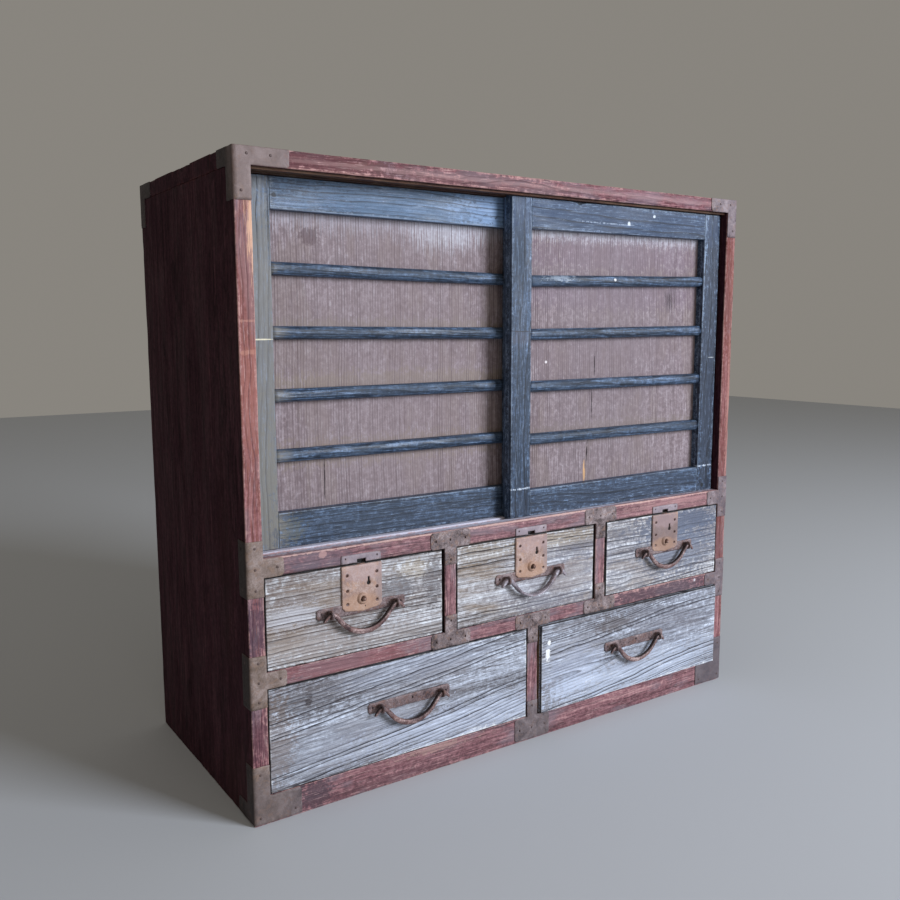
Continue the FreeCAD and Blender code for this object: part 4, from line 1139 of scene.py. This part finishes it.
def buildStraps(spec):
    low, high = cadCorners("side_left")
    left, front, tall = low[0], low[1], high[2]
    wide = high[0] - low[0]
    place = foldedPlace(left, front, spec["fold"])
    clip, sideArm, sideWide = spec["clip"], spec["sideArm"], spec["sideWidth"]
    bottomTop = cadCorners("bottom_rail")[1][2] - spec["inset"]

    def cut(outline, bent, seed):
        return cutSheet(outline, spec["thick"], bent, seed, spec["step"], ragged=spec["ragged"])

    def corner(arm, leg, edge, rail, up, seed):
        # an L on the front whose second arm folds round the side; up is 1 at the foot, -1 at the top
        tip, side = edge + up * leg, edge + up * sideWide
        outline = [(-sideArm, edge), (arm, edge), (arm, rail - up * clip), (arm - clip, rail),
                   (wide, rail), (wide, tip), (-sideWide, tip), (-sideWide, side),
                   (-sideArm + clip, side), (-sideArm, edge + up * (sideWide - clip))]
        inner, outer = (17, arm * 0.66) if up < 0 else (wide / 2 - 3, arm - 9)
        spots = [(inner, edge + up * 9), (outer, edge + up * 9), (wide / 2 - 2, edge + up * (leg - 11)),
                 (-sideArm + 8, edge + up * 10), (-9, edge + up * (leg - 12)), (-12, edge + up * 10)]
        return [cut(outline, place, seed)] + nailed(spots, spec, place)

    shapes = []
    for seed, mirror in ((5, False), (9, True)):
        made = corner(spec["topArm"][mirror], spec["topLeg"], tall, topUnder, -1, seed)
        made += corner(spec["lowArm"], spec["bottomLeg"], spec["floorGap"], bottomTop, 1, seed + 2)
        rear = corner(sideArm, spec["topLeg"], tall, tall - sideWide, -1, seed + 3)
        made += [flipped(shape, 1) for shape in rear]
        shapes += [flipped(shape, 0) for shape in made] if mirror else made
    addPiece("cornerStraps", shapes, paint["strap"], "carcass", "corner_irons")

    shapes = []
    for seed, mirror in ((15, False), (19, True)):
        for k, name in enumerate(("middle_rail", "drawer_rail")):
            a, b = cadCorners(name)[0][2], cadCorners(name)[1][2] - spec["inset"]
            arm, wrap = wide + spec["edgeArm"], spec["edgeWrap"]
            foot, head = a - spec["edgeReach"], b + spec["edgeReach"]
            outline = [(-wrap, foot), (wide, foot), (wide, a), (arm - clip, a), (arm, a + clip),
                       (arm, b - clip), (arm - clip, b), (wide, b), (wide, head), (-wrap, head)]
            middle = (a + b) / 2
            spots = [(wide / 2, foot + 9), (wide / 2, head - 9), (arm - 9, middle), (wide / 2, middle),
                     (-14, foot + 10), (-14, head - 10)]
            made = [cut(outline, place, seed + k)] + nailed(spots, spec, place)
            shapes += [flipped(shape, 0) for shape in made] if mirror else made
    addPiece("edgeStraps", shapes, paint["strap"], "carcass", "edge_irons")

    flat = frontPlace(front)
    lower, dividers = cadCorners("lower_divider"), cadCorners("upper_dividers")
    half = (lower[1][0] - lower[0][0]) / 2
    leftX, rightX, lowerX = dividers[0][0] + half, dividers[1][0] - half, lower[0][0] + half
    middleRailZ, drawerRailZ = [(cadCorners(name)[0][2], cadCorners(name)[1][2] - spec["inset"])
                                for name in ("middle_rail", "drawer_rail")]
    tees = [(leftX, middleRailZ, -1), (rightX, middleRailZ, -1), (leftX, drawerRailZ, 1),
            (rightX, drawerRailZ, 1), (lowerX, drawerRailZ, -1),
            (lowerX, (spec["floorGap"], bottomTop), 1)]
    shapes = []
    for k, (x, (a, b), up) in enumerate(tees):
        near, far = (b, a) if up > 0 else (a, b)
        tip, left, right = near + up * spec["teeStem"], x - spec["teeHalf"], x + spec["teeHalf"]
        outline = [(left + clip, far), (right - clip, far), (right, far + up * clip),
                   (right, near - up * clip), (right - clip, near), (x + half, near), (x + half, tip),
                   (x - half, tip), (x - half, near), (left + clip, near), (left, near - up * clip),
                   (left, far + up * clip)]
        middle = (near + far) / 2
        spots = [(left + 9, middle), (right - 9, middle), (x, tip - up * 8), (x - 1, middle)]
        shapes += [cut(outline, flat, 31 + k)] + nailed(spots, spec, flat)
    addPiece("dividerStraps", shapes, paint["strap"], "carcass", "divider_irons")


# Strike plates: thin iron on the middle rail with a notch for the bolt

strikes = dict(half=30, lift=1, height=11.5, thick=1.4, notchHalf=6.75, notchHeight=4.5, nail=1.4,
               nailHeight=straps["nailHeight"])


def buildStrikes(spec, lockPlaces):
    _, front, base = cadCorners("middle_rail")[0]
    place, a = frontPlace(front), base + spec["lift"]
    b, roof = a + spec["height"], a + spec["notchHeight"]
    shapes = []
    for k, x in enumerate(lockPlaces):
        left, right = x - spec["half"], x + spec["half"]
        near, far = x - spec["notchHalf"], x + spec["notchHalf"]
        outline = [(left, a), (near, a), (near, roof), (far, roof), (far, a), (right, a), (right, b),
                   (left, b)]
        shapes.append(cutSheet(outline, spec["thick"], place, 51 + k, 2.5, ragged=0.2))
        shapes += nailed([(left + 6, a + 7), (right - 6, a + 7)], spec, place)
    addPiece("strikePlates", shapes, paint["strap"], "carcass", "strike_plates")


lockPlaces = [sum(corner[0] for corner in cadCorners("drawer_" + place + "_lock_plate")) / 2
              for place in ("upper_left", "upper_middle", "upper_right")]
buildSides(carcass, sideTree)
buildTop(carcass, topTree)
buildRails(carcass, railTree)
buildMiddleRail(middleRail, carcass, railTree, lockPlaces)
buildDividers(carcass, dividerTree)
buildBack(carcass, backTree)
buildStraps(straps)
buildStrikes(strikes, lockPlaces)
print("carcass and its straps")


# Doors: two stiles, two rails, four bars and a thin board behind them

doors = dict(stile=37, rail=44.5, radius=1.0, nick=0.5, tongue=9, footShoulder=3.5, headShoulder=5.8,
             jointGap=0.25, railBack=0.2, stileStep=(1.6, 6, 10), railStep=(8, 6, 1.6),
             panelStep=(0.9, 4, 9),
             bites=dict(door_left=(), door_right=((103, 9, 4.5), (112, 14, 1.5))))
bars = dict(count=4, high=17, edge=8.5, nose=1.5, back=15, worn=0.8)
doorTree = dict(axes=(0, 2, 1), heart=0, wander=6, ripple=0.6, pith=-120, lean=0.02, pitch=4.4,
                height=0.16)
barTree = dict(doorTree, pitch=2.4, height=0.5)
panelTree = dict(axes=(2, 0, 1), heart=-700, wander=4, pith=-20, lean=0.01, pitch=3.9, ripple=0.3,
                 height=0.3)
panelCracks = dict(
    door_left=[dict(line=[(-316, 407), (-315, 432), (-316, 470)], half=0.7, depth=2.2)],
    door_right=[dict(line=[(153, 563), (153, 600)], half=0.6, depth=2.2),
                dict(line=[(148, 500), (148, 540)], half=0.5, depth=2.0),
                dict(line=[(133, 400), (137, 430), (142, 460)], half=1.2, depth=2.6)])
# how far each bar's left and right end and the rails' inner edges stray from their places
handWork = dict(
    door_left=dict(bars=((4.1, 3.7), (2.4, 3.0), (3.1, 0.3), (3.8, -0.8)),
                   rails=((2.0, 1.9), (4.6, 1.0))),
    door_right=dict(bars=((0, 0), (0, 0), (-2.0, 2.0), (-3.2, 4.5)),
                    rails=((-4.9, -2.7), (0.0, 3.0))))


def cracked(relief, cracks):
    # the panel's relief less a wedge that follows each crack's line and thins out at its ends
    def split(points, way):
        lift, rings = relief(points, way)
        for crack in cracks:
            line = np.array(crack["line"], float)
            x = np.interp(points[:, 2], line[:, 1], line[:, 0])
            share = (points[:, 2] - line[0, 1]) / (line[-1, 1] - line[0, 1])
            width = crack["half"] * np.sqrt(np.clip(4 * share * (1 - share), 0, 1)) + 1e-6
            wedge = np.clip(1 - np.abs(points[:, 0] - x) / width, 0, 1)
            lift = lift - crack["depth"] * wedge * (way[:, 1] < -0.5)
        return lift, rings
    return split


def buildDoorFrame(door, spec, turn):
    # stiles and rails, each with the tongue that runs in a groove; the rails' edges are bent by
    # hand's measures and bitten where the wood is worn away
    (left, front, foot), (right, rear, head) = cadCorners(door + "_frame")
    base, crown = foot + spec["footShoulder"], head - spec["headShoulder"]
    near, far = front + (rear - front - spec["tongue"]) / 2, front + (rear - front + spec["tongue"]) / 2
    inner, outer = left + spec["stile"], right - spec["stile"]
    shapes = []
    for k, x in enumerate((left, outer)):
        cut = dict(doorTree, axes=(2, 0, 1), seed=131 + 7 * turn + k, heart=x + 60)
        shapes.append(plank((x, front, base), (x + spec["stile"], rear, crown), spec["radius"],
                            spec["stileStep"], woodRelief(cut), spec["nick"],
                            board=0.13 + 0.4 * k + 0.2 * turn, upright=1.0))
        shapes.append(plank((x, near, foot), (x + spec["stile"], far, head), 0.5, (8, 8, 40)))
    for k, (a, b) in enumerate(((base, base + spec["rail"]), (crown - spec["rail"], crown))):
        cut = dict(doorTree, seed=151 + 7 * turn + k, heart=a - 30)
        rail = plank((inner + spec["jointGap"], front + spec["railBack"], a),
                     (outer - spec["jointGap"], rear, b), spec["radius"], spec["railStep"],
                     woodRelief(cut), spec["nick"], board=0.33 + 0.3 * k + 0.1 * turn)
        x, z = rail["points"][:, 0], rail["points"][:, 2]
        stray = np.interp(x, (left, right), handWork[door]["rails"][k])
        rail["points"][:, 2] += stray * ((b - z if k else z - a) / (b - a)).clip(0, 1)
        for middle, half, depth in spec["bites"][door] if k else ():
            bite = depth * (1 - np.abs(x - middle) / half).clip(0, 1)
            rail["points"][:, 2] -= bite * ((z - a) / (b - a)).clip(0, 1) ** 4
        shapes.append(rail)
        low, high = (b - 5, head) if k else (foot, a + 5)
        shapes.append(plank((inner, near, low), (outer, far, high), 0.5, (40, 8, 8)))
    addPiece(door + "Frame", shapes, paint["door"], door, door + "_frame")
    return inner, outer, front


def buildBars(door, spec, turn, left, right, front):
    # the round side is an ellipse quarter above and below the middle, worn a little flat
    foot, head = [corner[2] for corner in cadCorners(door + "_bars")]
    half, back = spec["high"] / 2, front + spec["back"]
    bend = np.radians(np.linspace(90, -90, 13))
    nose = front + spec["edge"] - (spec["edge"] - spec["nose"]) * np.cos(bend) ** spec["worn"]
    shapes = []
    for k, z in enumerate(np.linspace(foot + half, head - half, spec["count"])):
        corners = [(back, z - half), (back, z + half)]
        points = corners + list(zip(nose, z + half * np.sin(bend)))
        relief = woodRelief(dict(barTree, seed=171 + 5 * turn + k, heart=z - 9, pith=front + 30))
        outline = (roundOutline(points, 0.4, 1.5, 2)[0], np.array(corners))
        bar = carried(outline, evenStations(left, right, 6), 0.0, relief, 0.15 * k + 0.5 * turn)
        bar["points"][:, 2] += np.interp(bar["points"][:, 0], (left, right), handWork[door]["bars"][k])
        shapes.append(bar)
    addPiece(door + "Bars", shapes, paint["door"], door, door + "_bars")


def buildPanel(door, spec, turn):
    low, high = cadCorners(door + "_panel")
    heart = panelTree["heart"] + (low[0] + high[0]) / 2 + 40 * (1 - 2 * turn)
    relief = cracked(woodRelief(dict(panelTree, seed=191 + turn, heart=heart)), panelCracks[door])
    board = plank(low, high, 0.5, spec["panelStep"], relief, board=0.4 * turn, upright=1.0)
    addPiece(door + "Panel", [board], paint["panel"], door, door + "_panel")


for turn, door in enumerate(("door_left", "door_right")):
    left, right, front = buildDoorFrame(door, doors, turn)
    buildBars(door, bars, turn, left, right, front)
    buildPanel(door, doors, turn)
print("doors")


# Drawer fronts: weathered boards whose hard grain stands up, each sawn from its own place in the tree

fronts = dict(radius=1.9, nick=0.9, step=(5, 2.5, 0.8), wear=2.6, pit=4.6, pitDepth=6)
frontTree = dict(axes=(0, 2, 1), bunch=1.2, sharp=2.2)
frontTrees = dict(
    upper_left=dict(heart=182, pith=-190, lean=0.0, pitch=4.6, wander=4, ripple=0.5, height=0.42,
                    seed=211),
    upper_middle=dict(first=-4, heart=258, pith=-182, lean=0.03, pitch=5.4, wander=5, ripple=0.6,
                      height=0.42, seed=223),
    upper_right=dict(heart=186, pith=-168, lean=-0.04, pitch=5.6, wander=5, ripple=0.6, height=0.38,
                     seed=227),
    lower_left=dict(first=-4, heart=108, slope=0.11, pith=-184, lean=-0.012, pitch=4.8, wander=3,
                    ripple=0.45, height=0.45, seed=229),
    lower_right=dict(first=-6, heart=104, slope=0.08, pith=-186, lean=0.04, pitch=5.2, wander=5,
                     ripple=0.55, height=0.42, seed=233))


def buildFront(place, spec, cut):
    node = "drawer_" + place + "_front"
    low, high = cadCorners(node)
    relief = woodRelief(dict(frontTree, start=(low[0] + high[0]) / 2, **cut))
    pit = None
    if place.startswith("upper"):
        pin = sum(cadCorners("drawer_" + place + "_lock_pin")) / 2
        pit = dict(at=pin, radius=spec["pit"], depth=spec["pitDepth"])
    # rims: painted shade and dirt along the top and both side arrises
    board = plank(low, high, spec["radius"], spec["step"], relief, spec["nick"], spec["wear"],
                  rims=[(2, 1), (0, 1), (0, -1)], pit=pit)
    addPiece(place + "Front", [board], paint[place.split("_")[0]], "drawer_" + place, node)


# Handles: a nailed plate with two forged eyes, and a bail bent from one rod

handles = dict(length=135, height=15, thick=1.5, clip=3, eyeRadius=6.6, eyeNeck=3.5, eyeThick=3,
               eyeOut=9.5, hole=3.9, rod=3.4, halfSpan=50, drop=30, peak=9, slope=50, tip=48,
               tipLength=5.5, flatWide=6.0, flatDeep=1.8, power=2.6)


def ringOutline(centre, radius, start, end, count):
    # points on a circle from one angle to another
    angle = np.radians(np.linspace(start, end, count))
    return np.stack([centre[0] + radius * np.cos(angle), centre[1] + radius * np.sin(angle)], 1)


def buildHandlePlate(place, spec):
    node = "drawer_" + place + "_handle_plate"
    low, high = cadCorners(node)
    back, x, z = high[1], (low[0] + high[0]) / 2, (low[2] + high[2]) / 2
    flat, clip = frontPlace(back), spec["clip"]
    half, rise = spec["length"] / 2, spec["height"] / 2
    outline = [(x - half, z - rise + clip), (x - half + clip, z - rise), (x + half - clip, z - rise),
               (x + half, z - rise + clip), (x + half, z + rise - clip), (x + half - clip, z + rise),
               (x - half + clip, z + rise), (x - half, z + rise - clip)]
    shapes = [cutSheet(outline, spec["thick"], flat, int(abs(x)) + 3, 2.5, ragged=0.4, wobble=0.3)]
    shapes += nailed([(x - half + 7, z + 1), (x + half - 7, z - 1), (x + 4, z + 2)],
                     dict(straps, thick=spec["thick"]), flat)
    root, hole = back - spec["thick"] / 2, back - spec["eyeOut"]
    nose = ringOutline((hole, z), spec["eyeRadius"], 90, 270, 13)
    eye = np.concatenate([[(root, z - spec["eyeNeck"]), (root, z + spec["eyeNeck"])], nose])
    bore = ringOutline((hole, z), spec["hole"], 0, 330, 12)
    for side in (-1, 1):
        def upright(u, v, w, start=x + side * spec["halfSpan"] - spec["eyeThick"] / 2):
            return np.stack([start + w, u, v], 1)
        shapes.append(cutSheet(eye, spec["eyeThick"], upright, 7, 1.2, [bore], wobble=0.1))
    addPiece(place + "HandlePlate", shapes, paint["plate"], "drawer_" + place, node)


def bailPath(x, y, z, spec, step=1.6):
    # the tip, the arc over the eye, the slope, and the wide arc of the grip, mirrored: the grip's
    # radius is (span sin a - drop cos a) / (1 - cos a) less the radius of the arc over the eye
    slope, tip = np.radians([spec["slope"], spec["tip"]])
    reach = spec["halfSpan"] * np.sin(slope) - spec["drop"] * np.cos(slope)
    wide = reach / (1 - np.cos(slope)) - spec["peak"]
    grip = np.linspace(0, slope, 24)
    low = np.stack([wide * np.sin(grip), wide - spec["drop"] - wide * np.cos(grip)], 1)
    over = np.linspace(-slope, tip, 16)
    peak = np.stack([spec["halfSpan"] + spec["peak"] * np.sin(over),
                     -spec["peak"] + spec["peak"] * np.cos(over)], 1)
    end = peak[-1] + spec["tipLength"] * np.array([np.cos(tip), -np.sin(tip)])
    right = np.concatenate([low, peak, [end]])
    line = np.concatenate([right[::-1] * [-1, 1], right[1:]])
    walked = np.concatenate([[0], np.cumsum(np.linalg.norm(np.diff(line, axis=0), axis=1))])
    even = np.linspace(0, walked[-1], int(walked[-1] / step) + 1)
    u, v = np.interp(even, walked, line[:, 0]), np.interp(even, walked, line[:, 1])
    return np.stack([x + u, np.full(len(u), y), z + v], 1), even / walked[-1]


def buildBail(place, spec, flat):
    node = "drawer_" + place + "_bail"
    low, high = cadCorners(node)
    plateLow, plateHigh = cadCorners("drawer_" + place + "_handle_plate")
    x, y, z = (low[0] + high[0]) / 2, (low[1] + high[1]) / 2, (plateLow[2] + plateHigh[2]) / 2
    path, share = bailPath(x, y, z, spec)
    thick, power = spec["rod"], spec["power"]
    middle = np.clip(1 - np.abs(share - 0.5) / 0.36, 0, 1) ** 0.7
    narrow = thick * np.clip(1 - (np.abs(share - 0.5) - 0.42) * 5, 0.55, 1)
    if flat:
        across = narrow + (spec["flatDeep"] - thick) * middle
        deep = np.minimum(thick * 0.97 + (spec["flatWide"] - thick) * middle, spec["flatWide"])
        rod = sweptRod(path, across, deep, 20, power, 5, 0.03)
    else:
        rod = sweptRod(path, narrow * (0.92 + 0.28 * middle), narrow * (0.9 + 0.08 * middle), 16, power,
                       int(abs(x)), 0.05)
    finish = paint["flatBail" if flat else "bail"]
    addPiece(place + "Bail", [rod], finish, "bail_" + place, node)


# Locks: a plate with a point below, nail holes, a keyhole, and a dished boss round the push pin

locks = dict(wide=61, tall=65, thick=2.8, clip=4.5, point=3.5, boss=8.5, bossTop=5.2, bossHigh=3,
             bossDrop=47, keyShift=10, keyDrop=27, keyRadius=2.9, keyHalf=1.3, keyTall=8.5,
             holeShift=22.5, holeDrops=(13, 34, 52.5), hole=2.1, pin=3.0, pinBore=3.3)


def buildLock(place, spec, turn):
    node = "drawer_" + place + "_lock_plate"
    low, high = cadCorners(node)
    back, x, top = high[1], (low[0] + high[0]) / 2, high[2]
    half, base, clip = spec["wide"] / 2, high[2] - spec["tall"] + spec["point"], spec["clip"]
    outline = [(x - half, top), (x - half, base + clip), (x - half + clip, base),
               (x, base - spec["point"]), (x + half - clip, base), (x + half, base + clip), (x + half, top)]
    bossZ, keyX, keyZ = top - spec["bossDrop"], x + spec["keyShift"], top - spec["keyDrop"]
    slot = [(keyX + side * spec["keyHalf"], keyZ + spec["keyTall"]) for side in (1, -1)]
    spots = [(x + side * spec["holeShift"], top - drop) for side in (-1, 1) for drop in spec["holeDrops"]]
    holes = [np.concatenate([ringOutline((keyX, keyZ), spec["keyRadius"], 120, 420, 11), slot])]
    holes += [ringOutline(spot, spec["hole"], 0, 320, 9) for spot in spots]
    holes.append(ringOutline((x, bossZ), spec["bossTop"], 0, 345, 24))
    sheet = cutSheet(outline, spec["thick"], frontPlace(back), 61 + turn, 1.3, holes, wobble=0.12,
                     ragged=0.12)
    # the boss rises in a curve from the plate to a lip round the pin's bore
    t = np.linspace(0, 1, 7)
    rise = spec["thick"] + spec["bossHigh"] * np.sin(t * np.pi / 2) ** 1.2
    reach = spec["boss"] + (spec["bossTop"] - spec["boss"]) * t
    profile = [(spec["boss"] + 0.4, 0.6)] + list(zip(reach, rise))
    profile += [(spec["bossTop"] - 0.7, rise[-1] - 0.15), (spec["pinBore"] + 0.3, rise[-1] - 0.5),
                (spec["pinBore"], rise[-1] - 1.4), (spec["pinBore"], 0.3)]
    boss = dict(revolved(profile, np.array([x, back, bossZ]), (0, -1, 0), 28), caps=[], board=0.2)
    # a black plate behind the keyhole: painted shade in the hole
    dark = plank((keyX - 4, back - 0.5, keyZ - 4), (keyX + 4, back - 0.1, keyZ + 10), 0.1, (4, 1, 4),
                 board=1.0)
    heads = studs([(u, back, v) for u, v in spots], spec["hole"] - 0.2, 1.5, (0, -1, 0))
    addPiece(place + "LockPlate", [sheet, boss, dark] + heads, paint["lock"], "drawer_" + place,
             node)

    node = "drawer_" + place + "_lock_pin"
    low, high = cadCorners(node)
    radius, long = spec["pin"], high[1] - low[1]
    profile = [(radius * 0.15, 0.0), (radius * 0.6, 0.25), (radius * 0.85, 0.8), (radius, 1.8),
               (radius * 0.98, long - 6.5)]
    pin = revolved(profile, np.array([x, low[1], bossZ]), (0, 1, 0), 20)
    addPiece(place + "LockPin", [pin], paint["pin"], "pin_" + place, node)


places = ("upper_left", "upper_middle", "upper_right", "lower_left", "lower_right")
for turn, place in enumerate(places):
    buildFront(place, fronts, frontTrees[place])
    buildHandlePlate(place, handles)
    buildBail(place, handles, place == "upper_middle")
    if place.startswith("upper"):
        buildLock(place, locks, turn)
print("drawers, handles and locks")


# The CAD boards that stay: inner boards and drawer boxes, with a plain wood finish

def dress(node, finish):
    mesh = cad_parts[node].data
    mesh.materials.clear()
    mesh.materials.append(finish)


for node in ("bottom_board", "bottom_bearer", "cupboard_floor", "inner_shelf", "shelf_cleats",
             "drawer_deck"):
    dress(node, paint["inner"])
dress("upper_track", paint["track"])
for place in places:
    for part in ("walls", "bottom"):
        dress("drawer_" + place + "_" + part, paint["box"])
    if place.startswith("upper"):
        dress("drawer_" + place + "_lock_bolt", paint["pin"])


# Floor, light and camera

def buildFloor(spec):
    half = spec["floorSize"] / 2
    mesh = bpy.data.meshes.new("floor")
    corners = [(-half, -half, 0), (half, -half, 0), (half, half, 0), (-half, half, 0)]
    mesh.from_pydata(corners, [], [(0, 1, 2, 3)])
    floor = bpy.data.objects.new("floor", mesh)
    bpy.context.scene.collection.objects.link(floor)
    finish, tree = newPaint("floorPaint")
    surface = addNode(tree, "BsdfPrincipled", {"Base Color": linear(spec["floor"]), "Roughness": 0.8,
                                               "Specular IOR Level": 0.2})
    addNode(tree, "OutputMaterial", {"Surface": surface.outputs["BSDF"]})
    mesh.materials.append(finish)


buildFloor(light)
makeLights(light)
makeCamera(camera)
print("floor, light and camera")
